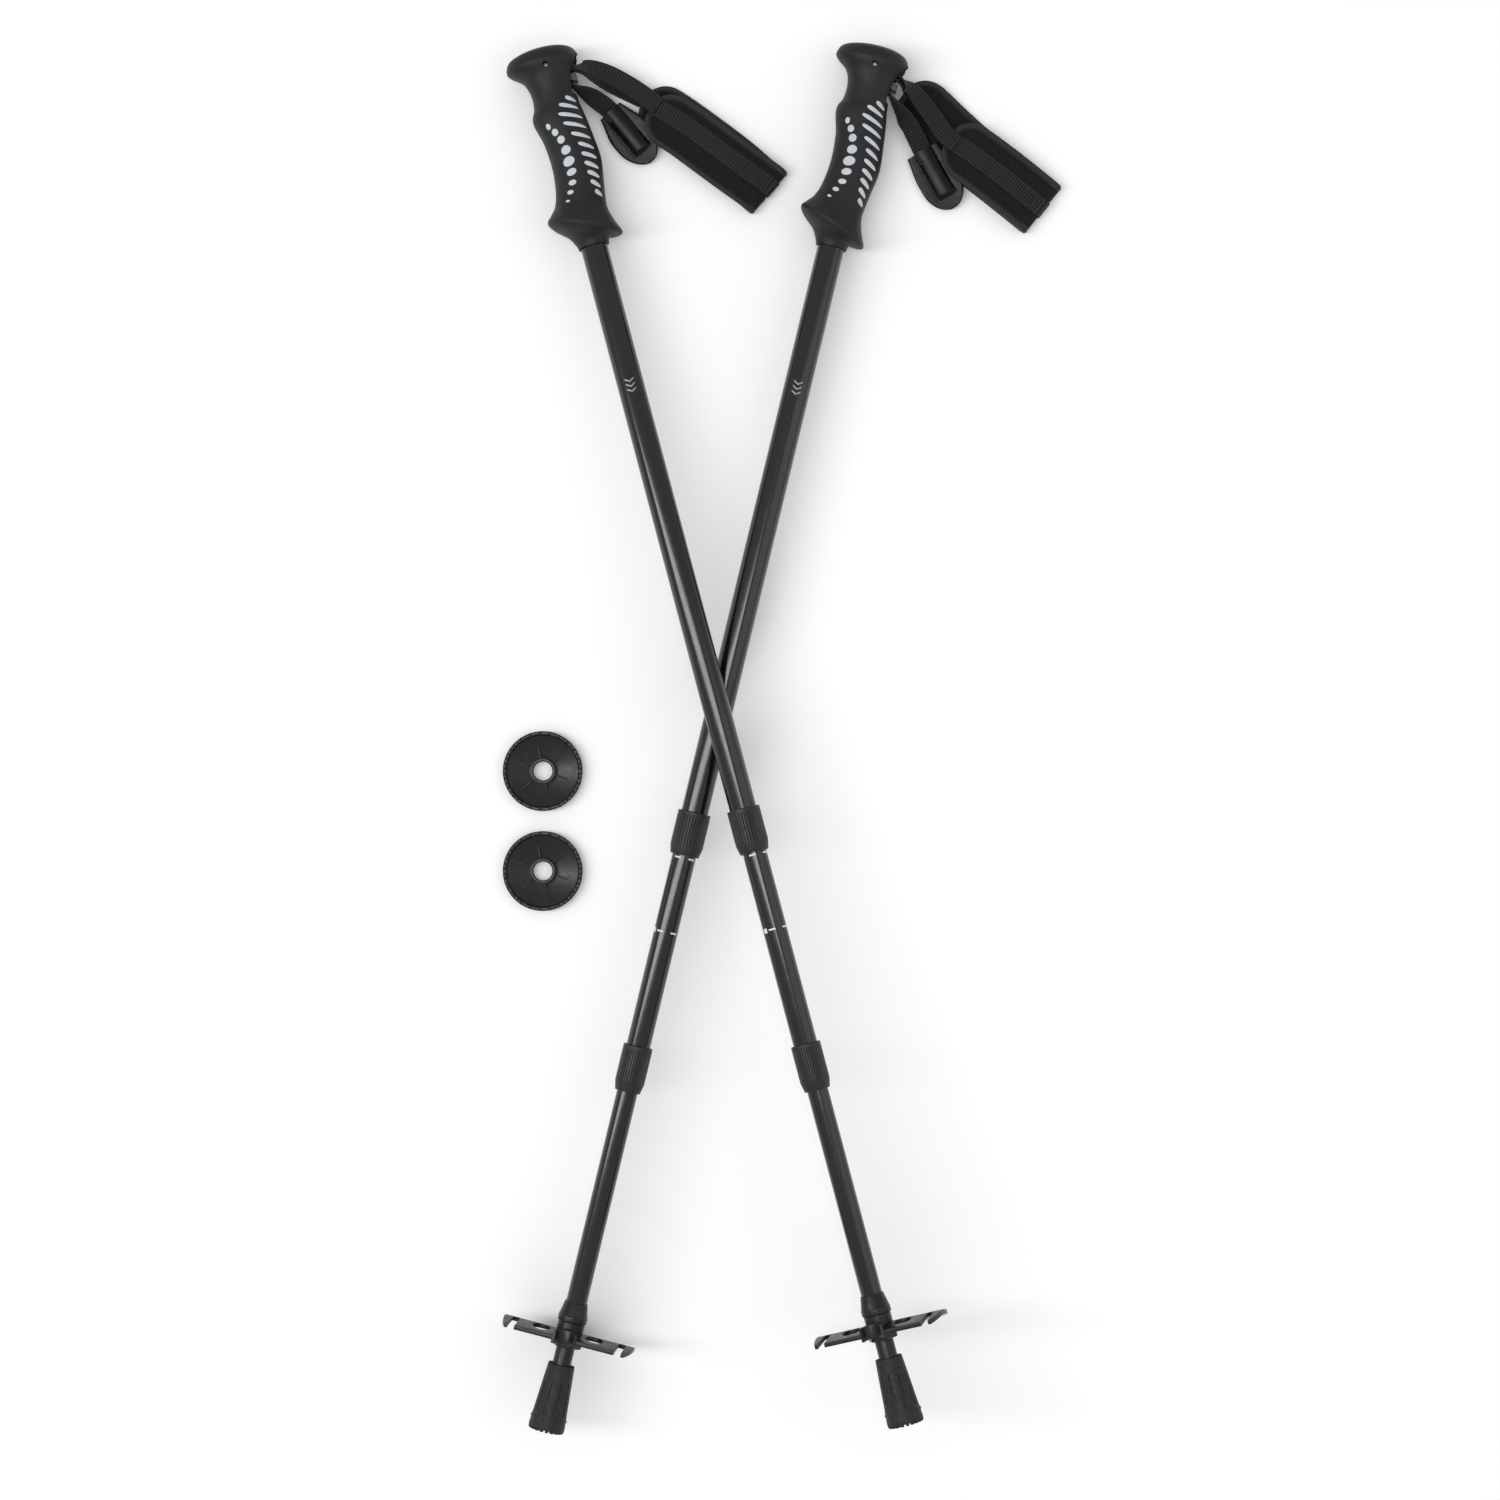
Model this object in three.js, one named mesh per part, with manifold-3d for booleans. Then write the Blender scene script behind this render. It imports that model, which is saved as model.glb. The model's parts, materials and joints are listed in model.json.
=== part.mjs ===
// A pair of three-section twist-lock trekking poles, lying crossed on the ground with their wrist
// straps folded beside the grips, and two loose spare baskets. Millimetres, +Z up, the ground at Z = 0,
// the origin at the centre of the ground area that the whole set covers.
//
// Each pole has its own frame: Y runs along the shaft with the top of the grip at 0 and the tip at
// negative Y, Z points away from the ground and the finger side of the grip faces -X. A "station" is
// the distance down the shaft from the top of the grip.

import * as THREE from 'three';
import { mergeVertices } from 'three/addons/utils/BufferGeometryUtils.js';
import Module from 'manifold-3d';

const wasm = await Module();
wasm.setup();

// ---------------------------------------------------------------- driving dimensions

const GAP = 0.3;
const OVERCUT = 1;

const UPPER_TUBE = { radius: 9, wall: 0.65, top: 40, bottom: 553 };
const MIDDLE_TUBE = { radius: 8, wall: 0.6, top: 234, bottom: 714 };
const LOWER_TUBE = { radius: 7, wall: 0.6, top: 425, bottom: 870 };
const TUBE_SIDES = 24;
const SLEEVE_SIDES = 20;
const INNER_SIDES = 12;

const CORE_RADIUS = 11.3;
const CORE_TOP = 4.8;
const CORE_BOTTOM = 129.2;
const CORE_PLUG_BOTTOM = 38.3;
const PIN = { radius: 1.6, hole: 2, length: 27, station: 14 };
const STRAP_SLOT = { top: 7.5, bottom: 36.3, inner: -5, outer: 32, width: 15 };

const STRAP = { width: 12.5, thickness: 1.2 };
const PAD = { thickness: 3.8, edge: 1.2, layerSteps: 10, foldSteps: 4 };
const TAB = { length: 44, halfWidth: 14, board: 1, tunnelHalfWidth: 6.2, tunnelHeight: 3 };
const WEBBING_STEPS = { long: 50, short: 20 };

const LOCK_SLEEVE = { lip: 2.6, chamfer: 7, taper: 0.8, guideGap: 0.35 };
const UPPER_SLEEVE = { length: 29.5, thickness: 1.65 };
const LOWER_SLEEVE = { length: 31, thickness: 1.55 };

const HOLDER = { top: 860, collar: 871, shoulder: 873, neck: 890, nose: 912, end: 926 };
const HOLDER_RADIUS = { lip: 0.5, collar: 9.8, thread: 5.9, neck: 6.15, nose: 4.6 };
const CARBIDE = { pocketRadius: 2.9, pocketTop: 915, radius: 2.6, top: 915.3, shoulder: 930, end: 934 };
const RUBBER_TIP = { top: 902, flare: 943.5, end: 946.5, topRadius: 8.85, flareRadius: 12.1 };
const RUBBER_POCKET = { step: 928, floor: 937, radius: 3.4 };

const BASKET = { radius: 44.75, face: 879.5, thickness: 3, chord: 18, bore: 6.25, lean: 9 };
const BASKET_HUB = { top: 873.4, bottom: 890, acrossFlats: 17.8 };
const BASKET_CLIP = { centre: 20, radius: 6.4, wall: 2, top: 875.5, bottom: 884.5 };
const BASKET_HOLE = { across: 18, up: 6, radius: 6 };
const BASKET_END_SLOT = { across: 36.5, width: 4.6, depth: 22 };

const SPARE = { radius: 27, height: 8.2, bore: 6.4, hubRadius: 8.8, hubHeight: 6 };
const SPARE_RIM = { width: 2.6, bottom: 4.2, inside: 6 };
const SPARE_RIBS = { count: 6, reach: 17.6, width: 0.9, hubTop: 5.3, endTop: 4.7, turn: 0.3 };
const SPARE_CENTRES = [[-162.8, -24.4], [-162.8, -91.8]];

// How each pole lies: where its grip top is on the ground plan, how far it turns from straight, how
// far its basket turns about the shaft, and how far its lower section is pushed further in. A pole's
// pommel rests on the ground. Pole B's basket does too, and pole A crosses over pole B's upper tube.
const POMMEL_STATION = 10;
const POMMEL_HALF_DEPTH = 19;
const CROSSING_STATION = 460;
const POLE_A = { suffix: 'a', x: -162.4, y: 458.5, turn: 14.87, basketTurn: 20, pushedIn: 6 };
const POLE_B = { suffix: 'b', x: 63.3, y: 459.8, turn: -13.54, basketTurn: 7, pushedIn: 0 };

// ---------------------------------------------------------------- helpers

const radians = THREE.MathUtils.degToRad;

// Solid of revolution about the shaft from a closed outline of [radius, station] points.
function turned(outline, sides) {
  const points = outline.map(([radius, station]) => new THREE.Vector2(radius, -station));
  const area = THREE.ShapeUtils.area(points);
  if (area < 0) points.reverse();
  points.push(points[0].clone());
  return new THREE.LatheGeometry(points, sides);
}

function solidOf(geometry) {
  const bare = geometry.clone();
  bare.deleteAttribute('normal');
  bare.deleteAttribute('uv');
  const merged = mergeVertices(bare, 1e-4);
  const vertProperties = new Float32Array(merged.attributes.position.array);
  const triVerts = new Uint32Array(merged.index.array);
  return new wasm.Manifold(new wasm.Mesh({ numProp: 3, vertProperties, triVerts }));
}

function geometryOf(solid) {
  const mesh = solid.getMesh();
  const geometry = new THREE.BufferGeometry();
  geometry.setAttribute('position', new THREE.BufferAttribute(new Float32Array(mesh.vertProperties), 3));
  geometry.setIndex(new THREE.BufferAttribute(new Uint32Array(mesh.triVerts), 1));
  geometry.computeVertexNormals();
  return geometry;
}

function cut(geometry, ...cutters) {
  let solid = solidOf(geometry);
  for (const cutter of cutters) solid = solid.subtract(solidOf(cutter));
  return geometryOf(solid);
}

function join(geometry, ...others) {
  let solid = solidOf(geometry);
  for (const other of others) solid = solid.add(solidOf(other));
  return geometryOf(solid);
}

// Closed skin through rings of the same number of points, with a flat cap on each end.
function loft(rings) {
  const sides = rings[0].length;
  const positions = rings.flat().flatMap((point) => [point.x, point.y, point.z]);
  const faces = [];
  for (let ring = 0; ring < rings.length - 1; ring += 1) {
    for (let side = 0; side < sides; side += 1) {
      const a = ring * sides + side;
      const b = ring * sides + (side + 1) % sides;
      faces.push(a, b, b + sides, a, b + sides, a + sides);
    }
  }
  for (const ring of [0, rings.length - 1]) {
    const centre = positions.length / 3;
    const middle = rings[ring].reduce((sum, point) => sum.add(point), new THREE.Vector3());
    middle.divideScalar(sides);
    positions.push(middle.x, middle.y, middle.z);
    for (let side = 0; side < sides; side += 1) {
      const a = ring * sides + side;
      const b = ring * sides + (side + 1) % sides;
      faces.push(centre, ring === 0 ? b : a, ring === 0 ? a : b);
    }
  }
  const geometry = new THREE.BufferGeometry();
  geometry.setAttribute('position', new THREE.Float32BufferAttribute(positions, 3));
  geometry.setIndex(faces);
  if (volumeOf(geometry) < 0) {
    geometry.setIndex(faces.reverse());
  }
  geometry.computeVertexNormals();
  return geometry;
}

function volumeOf(geometry) {
  const point = geometry.attributes.position;
  const index = geometry.index;
  const a = new THREE.Vector3();
  const b = new THREE.Vector3();
  const c = new THREE.Vector3();
  let volume = 0;
  for (let i = 0; i < index.count; i += 3) {
    a.fromBufferAttribute(point, index.getX(i));
    b.fromBufferAttribute(point, index.getX(i + 1));
    c.fromBufferAttribute(point, index.getX(i + 2));
    volume += a.dot(b.cross(c)) / 6;
  }
  return volume;
}

function cylinderAlongShaft(radius, top, bottom, sides) {
  const geometry = new THREE.CylinderGeometry(radius, radius, bottom - top, sides);
  return geometry.translate(0, -(top + bottom) / 2, 0);
}

function piece(name, geometry, colour, roughness, metalness) {
  const material = new THREE.MeshStandardMaterial({ color: colour, roughness, metalness });
  const mesh = new THREE.Mesh(geometry, material);
  mesh.name = name;
  return mesh;
}

// ---------------------------------------------------------------- grip

// Sections down the grip: station on the axis, reach to the finger side, reach to the back, half depth,
// and the lean of the section, which carries its back lower than its front.
const GRIP_SECTIONS = [
  { station: 0, front: 9, back: 8, depth: 7, lean: 0 },
  { station: 1.2, front: 17.5, back: 15, depth: 13, lean: 0 },
  { station: 4, front: 24.5, back: 20, depth: 17, lean: 0 },
  { station: 9.5, front: 27, back: 22.5, depth: POMMEL_HALF_DEPTH, lean: 0 },
  { station: 13, front: 25, back: 21.5, depth: 18.4, lean: 0 },
  { station: 19, front: 18, back: 17.5, depth: 16, lean: 0 },
  { station: 28, front: 15, back: 15, depth: 14.6, lean: 0 },
  { station: 38, front: 15.4, back: 15, depth: 14.3, lean: 0 },
  { station: 44, front: 18, back: 15.8, depth: 14.8, lean: 0 },
  { station: 50, front: 18, back: 16.8, depth: 15.2, lean: 0 },
  { station: 63, front: 14.8, back: 18.4, depth: 15.2, lean: 0 },
  { station: 81, front: 13.8, back: 19.8, depth: 15, lean: 0 },
  { station: 98, front: 15.8, back: 17.2, depth: 15, lean: 0.05 },
  { station: 110, front: 19, back: 15.4, depth: 16, lean: 0.2 },
  { station: 118, front: 23, back: 17.5, depth: 18, lean: 0.3 },
  { station: 124.4, front: 26, back: 21, depth: 20, lean: 0.36 },
  { station: 127.6, front: 23.5, back: 19.5, depth: 18.5, lean: 0.33 },
  { station: 130.5, front: 15.5, back: 15.5, depth: 14.5, lean: 0.2 },
  { station: 134, front: 11.6, back: 11.6, depth: 11.3, lean: 0 },
  { station: 138, front: 10.4, back: 10.4, depth: 10.4, lean: 0 },
];
const GRIP_SIDES = 20;

function gripRing(section) {
  const ring = [];
  for (let side = 0; side < GRIP_SIDES; side += 1) {
    const angle = (2 * Math.PI * side) / GRIP_SIDES;
    const reach = Math.cos(angle) > 0 ? section.back : section.front;
    const x = reach * Math.cos(angle);
    ring.push(new THREE.Vector3(x, -(section.station + section.lean * x), section.depth * Math.sin(angle)));
  }
  return ring;
}

function strapSlotCutter() {
  const { top, bottom, inner, outer, width } = STRAP_SLOT;
  const cutter = new THREE.BoxGeometry(outer - inner, bottom - top, width);
  return cutter.translate((inner + outer) / 2, -(top + bottom) / 2, 0);
}

function pinHoleCutter(radius) {
  const cutter = new THREE.CylinderGeometry(radius, radius, 60, 12);
  return cutter.rotateX(Math.PI / 2).translate(0, -PIN.station, 0);
}

function gripShell() {
  return cut(
    loft(GRIP_SECTIONS.map(gripRing)),
    cylinderAlongShaft(CORE_RADIUS + GAP, CORE_TOP - GAP, CORE_BOTTOM + GAP, GRIP_SIDES),
    cylinderAlongShaft(UPPER_TUBE.radius + GAP, CORE_BOTTOM, 140, GRIP_SIDES),
    strapSlotCutter(),
    pinHoleCutter(PIN.hole),
  );
}

function gripCore() {
  const bore = UPPER_TUBE.radius + GAP;
  const sleeve = turned([
    [0, CORE_TOP],
    [CORE_RADIUS, CORE_TOP],
    [CORE_RADIUS, CORE_BOTTOM],
    [bore, CORE_BOTTOM],
    [bore, CORE_PLUG_BOTTOM],
    [0, CORE_PLUG_BOTTOM],
  ], GRIP_SIDES);
  return cut(sleeve, strapSlotCutter(), pinHoleCutter(PIN.hole));
}

function strapPin() {
  const pin = new THREE.CylinderGeometry(PIN.radius, PIN.radius, PIN.length, 12);
  return pin.rotateX(Math.PI / 2).translate(0, -PIN.station, 0);
}

// ---------------------------------------------------------------- tubes and locks

function tube({ radius, wall, top, bottom }) {
  return turned([[radius, top], [radius, bottom], [radius - wall, bottom], [radius - wall, top]], TUBE_SIDES);
}

// Outer sleeve on the lower end of a tube, with a lip that guides the next, thinner tube.
function lockSleeve(outerTube, innerTube, { length, thickness }) {
  const end = outerTube.bottom + GAP + LOCK_SLEEVE.lip;
  const top = end - length;
  const bore = outerTube.radius + GAP;
  const outside = bore + thickness;
  const guide = innerTube.radius + LOCK_SLEEVE.guideGap;
  return turned([
    [outside - 0.4, top],
    [outside, top + 1],
    [outside, end - LOCK_SLEEVE.chamfer],
    [outside - LOCK_SLEEVE.taper, end],
    [guide, end],
    [guide, end - LOCK_SLEEVE.lip],
    [bore, end - LOCK_SLEEVE.lip],
    [bore, top],
  ], SLEEVE_SIDES);
}

// Twist lock above the top end of an inner tube: a screw plugged into that tube, a cone nut on the
// screw, and a slotted expander that the cone spreads against the inside of the outer tube.
const LOCK = { stack: 44, expander: 34, cap: 4, flange: 3, plug: 17, cone: 18, coneFoot: 2, slot: 1.4 };
const LOCK_ROD = { middle: 3, lower: 2.6 };

function lockScrew(innerTube, rod) {
  const seat = innerTube.top - GAP;
  const flangeTop = seat - LOCK.flange;
  const flange = innerTube.radius - 0.1;
  const rodTop = innerTube.top - LOCK.stack;
  const plug = innerTube.radius - innerTube.wall - GAP;
  return turned([
    [0, rodTop],
    [rod - 0.6, rodTop],
    [rod, rodTop + 1],
    [rod, flangeTop],
    [flange, flangeTop],
    [flange, seat],
    [plug, seat],
    [plug, seat + LOCK.plug],
    [0, seat + LOCK.plug],
  ], INNER_SIDES);
}

function lockTaper(outerTube, innerTube) {
  const outside = outerTube.radius - outerTube.wall - GAP;
  const top = innerTube.top - LOCK.stack + 2;
  return { outside, top, bottom: top + LOCK.expander, narrow: outside - 3.5, wide: outside - 1.2 };
}

function lockExpander(outerTube, innerTube, rod) {
  const taper = lockTaper(outerTube, innerTube);
  const sleeve = turned([
    [rod + 2 * GAP, taper.top],
    [taper.outside, taper.top],
    [taper.outside, taper.bottom],
    [taper.wide, taper.bottom],
    [taper.narrow, taper.top + LOCK.cap],
    [rod + 2 * GAP, taper.top + LOCK.cap],
  ], INNER_SIDES);
  const slotTop = taper.top + 2 * LOCK.cap;
  const slotLength = taper.bottom + OVERCUT - slotTop;
  const slot = new THREE.BoxGeometry(LOCK.slot, slotLength, 4 * taper.outside);
  slot.translate(0, -(slotTop + slotLength / 2), 0);
  return cut(sleeve, slot);
}

function lockCone(outerTube, innerTube, rod) {
  const taper = lockTaper(outerTube, innerTube);
  const slope = (taper.wide - taper.narrow) / (LOCK.expander - LOCK.cap);
  const bottom = taper.bottom - LOCK.coneFoot;
  const top = bottom - LOCK.cone;
  const radiusAt = (station) => taper.wide - slope * (taper.bottom - station) - 2 * GAP;
  return turned([
    [rod + GAP, top],
    [radiusAt(top), top],
    [radiusAt(bottom), bottom],
    [rod + GAP, bottom],
  ], INNER_SIDES);
}

// ---------------------------------------------------------------- tip end

function tipHolder() {
  const bore = LOWER_TUBE.radius + GAP / 2;
  return turned([
    [bore + HOLDER_RADIUS.lip, HOLDER.top],
    [HOLDER_RADIUS.collar, HOLDER.collar],
    [HOLDER_RADIUS.collar, HOLDER.shoulder],
    [HOLDER_RADIUS.thread, HOLDER.shoulder],
    [HOLDER_RADIUS.thread, HOLDER.neck],
    [HOLDER_RADIUS.neck, HOLDER.neck],
    [HOLDER_RADIUS.neck, HOLDER.nose],
    [HOLDER_RADIUS.nose, HOLDER.end],
    [CARBIDE.pocketRadius, HOLDER.end],
    [CARBIDE.pocketRadius, CARBIDE.pocketTop],
    [0, CARBIDE.pocketTop],
    [0, LOWER_TUBE.bottom + GAP],
    [bore, LOWER_TUBE.bottom + GAP],
    [bore, HOLDER.top],
  ], 16);
}

// The carbide point ends in a hollow ring that bites into rock.
function carbideTip() {
  return turned([
    [0, CARBIDE.top],
    [CARBIDE.radius, CARBIDE.top],
    [CARBIDE.radius, CARBIDE.shoulder],
    [CARBIDE.radius - 0.7, CARBIDE.end],
    [0, CARBIDE.end - 1],
  ], INNER_SIDES);
}

function rubberTip() {
  return turned([
    [RUBBER_TIP.topRadius, RUBBER_TIP.top],
    [RUBBER_TIP.flareRadius, RUBBER_TIP.flare],
    [RUBBER_TIP.flareRadius - 0.6, RUBBER_TIP.end],
    [0, RUBBER_TIP.end],
    [0, RUBBER_POCKET.floor],
    [RUBBER_POCKET.radius, RUBBER_POCKET.floor],
    [RUBBER_POCKET.radius, RUBBER_POCKET.step],
    [HOLDER_RADIUS.neck + GAP, RUBBER_POCKET.step],
    [HOLDER_RADIUS.neck + GAP, RUBBER_TIP.top],
  ], 20);
}

// ---------------------------------------------------------------- baskets

// The plate is drawn face on: across the shaft along x, away from the ground along y.
function basketPlate() {
  const chordAngle = Math.asin(BASKET.chord / BASKET.radius);
  const notchHalf = Math.sqrt(BASKET_CLIP.radius ** 2 - (BASKET_CLIP.centre - BASKET.chord) ** 2);
  const notchAngle = Math.atan2(BASKET.chord - BASKET_CLIP.centre, notchHalf);
  const outline = new THREE.Shape();
  outline.absarc(0, 0, BASKET.radius, Math.PI - chordAngle, 2 * Math.PI + chordAngle, false);
  outline.lineTo(notchHalf, BASKET.chord);
  outline.absarc(0, BASKET_CLIP.centre, BASKET_CLIP.radius, notchAngle, Math.PI - notchAngle, true);
  outline.closePath();
  for (const side of [-1, 1]) {
    const hole = new THREE.Path();
    hole.absarc(side * BASKET_HOLE.across, BASKET_HOLE.up, BASKET_HOLE.radius, 0, 2 * Math.PI, true);
    outline.holes.push(hole);
  }
  const plate = new THREE.ExtrudeGeometry(outline, {
    depth: BASKET.thickness,
    bevelEnabled: false,
    curveSegments: 11,
  });
  return plate.rotateX(Math.PI / 2).translate(0, -BASKET.face, 0);
}

function basketClipWall() {
  const { centre, radius, wall, top, bottom } = BASKET_CLIP;
  const outer = cylinderAlongShaft(radius + wall, top, bottom, 16).translate(0, 0, centre);
  const inner = cylinderAlongShaft(radius, top - OVERCUT, bottom + OVERCUT, 16).translate(0, 0, centre);
  const above = new THREE.BoxGeometry(40, bottom - top + 2 * OVERCUT, 20);
  above.translate(0, -(top + bottom) / 2, BASKET.chord + 10);
  return cut(outer, inner, above);
}

// The plate bends down the shaft on both sides of its middle line. Its clip bends with it, and the
// hub stays square to the shaft.
function bentBothWays(geometry) {
  const slope = Math.tan(radians(BASKET.lean));
  const halves = [-1, 1].map((side) => {
    const reach = 4 * BASKET.radius;
    const otherSide = new THREE.BoxGeometry(reach, reach, reach);
    otherSide.translate(0, -BASKET.face, (-side * reach) / 2);
    const lean = new THREE.Matrix4().set(1, 0, 0, 0, 0, 1, -side * slope, 0, 0, 0, 1, 0, 0, 0, 0, 1);
    return cut(geometry, otherSide).applyMatrix4(lean);
  });
  return join(...halves);
}

function basket() {
  const hubRadius = BASKET_HUB.acrossFlats / 2 / Math.cos(Math.PI / 6);
  const hub = cylinderAlongShaft(hubRadius, BASKET_HUB.top, BASKET_HUB.bottom, 6);
  const bore = cylinderAlongShaft(BASKET.bore, BASKET_HUB.top - OVERCUT, BASKET_HUB.bottom + OVERCUT, 16);
  const endSlots = [-1, 1].map((side) => {
    const slot = new THREE.BoxGeometry(BASKET_END_SLOT.width, 4 * BASKET.thickness, BASKET_END_SLOT.depth);
    const up = BASKET.chord + OVERCUT - BASKET_END_SLOT.depth / 2;
    return slot.translate(side * BASKET_END_SLOT.across, -BASKET.face, up);
  });
  const plate = bentBothWays(cut(join(basketPlate(), basketClipWall()), ...endSlots));
  return cut(join(plate, hub), bore);
}

// Loose shallow basket, hub down, turned about Y with stations measured down from its rim.
function spareBasket() {
  const height = (up) => SPARE.height - up;
  const rimInside = SPARE.radius - SPARE_RIM.width;
  const dish = turned([
    [SPARE.bore, height(0)],
    [SPARE.hubRadius + 0.4, height(0)],
    [SPARE.radius - 2, height(SPARE_RIM.bottom)],
    [SPARE.radius, height(SPARE_RIM.bottom + 0.6)],
    [SPARE.radius, height(SPARE.height)],
    [rimInside, height(SPARE.height)],
    [rimInside - 0.4, height(SPARE_RIM.inside)],
    [SPARE.hubRadius, height(2.2)],
    [SPARE.hubRadius, height(SPARE.hubHeight)],
    [SPARE.bore, height(SPARE.hubHeight)],
  ], SLEEVE_SIDES);
  const inHub = SPARE.hubRadius - 1;
  const side = new THREE.Shape();
  side.moveTo(inHub, -height(1.3));
  side.lineTo(SPARE_RIBS.reach, -height(3.4));
  side.lineTo(SPARE_RIBS.reach, -height(SPARE_RIBS.endTop));
  side.lineTo(inHub, -height(SPARE_RIBS.hubTop));
  const ribs = [];
  for (let count = 0; count < SPARE_RIBS.count; count += 1) {
    const rib = new THREE.ExtrudeGeometry(side, { depth: SPARE_RIBS.width, bevelEnabled: false });
    rib.translate(0, 0, -SPARE_RIBS.width / 2);
    ribs.push(rib.rotateY((2 * Math.PI * (count + SPARE_RIBS.turn)) / SPARE_RIBS.count));
  }
  return join(dish, ...ribs);
}

// ---------------------------------------------------------------- wrist straps

// Each strap is drawn on the ground plan of its own pole: the pin at (0, 0), x across the shaft towards
// the back of the grip, y up the shaft, z above the ground. Webbing points carry a twist in degrees:
// 90 stands the webbing on edge and 0 lays it flat.
const STRAP_A = {
  webbing: [
    [32.2, -31.6, 5.6, 0], [27.5, -26.2, 8.6, 15], [21, -19.6, 15.4, 55], [14.2, -14.4, 20.1, 90],
    [6.8, -8, 19.7, 90], [1.2, -3.2, 19.3, 90], [-2.5, -2, 19.3, 90], [-3.2, 0.9, 19.3, 90],
    [0, 3.3, 19.3, 90], [5.5, 2.4, 19.3, 90], [12, 0.4, 19.3, 90], [18, -1.5, 19.8, 82],
    [23, -3.4, 21.6, 50], [29.8, -6.3, 19.6, 26], [39.2, -12.3, 15.8, 10], [48.2, -20.2, 13.6, 3],
    [56.8, -29.4, 12.8, 0], [66, -41, 12.7, 0],
  ],
  returning: [
    [7.5, -1.2, 19.3, 90], [13, -3.1, 19.3, 90], [18.5, -5.2, 18.6, 86], [25, -8.8, 14.2, 60],
    [34, -14.2, 8.8, 32], [44, -21, 4.8, 10], [51, -26.4, 3, 2], [57.2, -31.6, 2.6, 0],
  ],
  underLayer: [[58, -32.4, 2.2], [68, -43.5, 2.2], [80, -57, 2.2], [104, -87, 2.2], [121, -112, 2.4]],
  topLayer: [[121, -112, 8.1], [101, -88, 8.8], [80, -62, 9.5], [68, -49, 9.8], [60, -40.5, 9.8]],
  padHalfWidth: 18.4,
  tab: { mouth: [33.8, -34.2, 4.7], heading: [0.43, -0.9], tilt: 9.6, neck: 0.6 },
};
const STRAP_B = {
  webbing: [
    [43.2, -41.8, 5.8, 0], [37, -34.9, 9.2, 15], [28, -26, 14.6, 45], [15.4, -15.6, 19.2, 90],
    [6.8, -8, 19.1, 90], [1.2, -3.2, 19.1, 90], [-2.5, -2, 19.1, 90], [-3.2, 0.9, 19.1, 90],
    [0, 3.3, 19.1, 90], [5.5, 2.3, 19.1, 90], [12, 0, 19.1, 90], [20.5, -2.6, 19.1, 82],
    [28, -7.2, 17.6, 36], [35.6, -12.4, 15.2, 12], [48.5, -23, 13.6, 3], [56.5, -30, 13, 0],
    [66, -34.8, 12.9, 0],
  ],
  returning: [[7.5, -1.3, 19.1, 90], [13, -3, 19.1, 88], [17.6, -4.8, 18.3, 82], [23, -6.7, 14.6, 40]],
  underLayer: [
    [23.4, -9.2, 9], [32, -13, 6.6], [44, -19, 4], [60, -28, 2.5], [80, -38.5, 2.2],
    [107, -51, 2.2], [129, -61.4, 2.4],
  ],
  topLayer: [[129, -61.4, 8.1], [107.5, -51.3, 8.8], [86.5, -42.2, 9.5], [70, -35.8, 9.8], [59, -32, 9.8]],
  padHalfWidth: 20,
  tab: { mouth: [44.3, -43.2, 4.9], heading: [0.687, -0.727], tilt: 9.6, neck: 0.8 },
};
const WEDGE = {
  outline: [[7.5, -5.4], [18, -7.6], [18, -12.6], [14.8, -12], [7.5, -6.8]],
  height: 11.6,
};

function webbingStrip(points, steps) {
  const curve = new THREE.CatmullRomCurve3(points.map(([x, y, z]) => new THREE.Vector3(x, y, z)));
  const up = new THREE.Vector3(0, 0, 1);
  const rings = [];
  for (let step = 0; step <= steps; step += 1) {
    const t = step / steps;
    const place = t * (points.length - 1);
    const before = Math.min(Math.floor(place), points.length - 2);
    const twist = radians(THREE.MathUtils.lerp(points[before][3], points[before + 1][3], place - before));
    const centre = curve.getPoint(t);
    const tangent = curve.getTangent(t);
    const flat = new THREE.Vector3().crossVectors(tangent, up).normalize();
    const edge = new THREE.Vector3().crossVectors(flat, tangent).normalize();
    const across = flat.multiplyScalar(Math.cos(twist)).addScaledVector(edge, Math.sin(twist));
    const through = new THREE.Vector3().crossVectors(tangent, across).normalize();
    const corner = (w, h) => centre.clone()
      .addScaledVector(across, (w * STRAP.width) / 2)
      .addScaledVector(through, (h * STRAP.thickness) / 2);
    rings.push([corner(-1, -1), corner(1, -1), corner(1, 1), corner(-1, 1)]);
  }
  return loft(rings);
}

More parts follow.
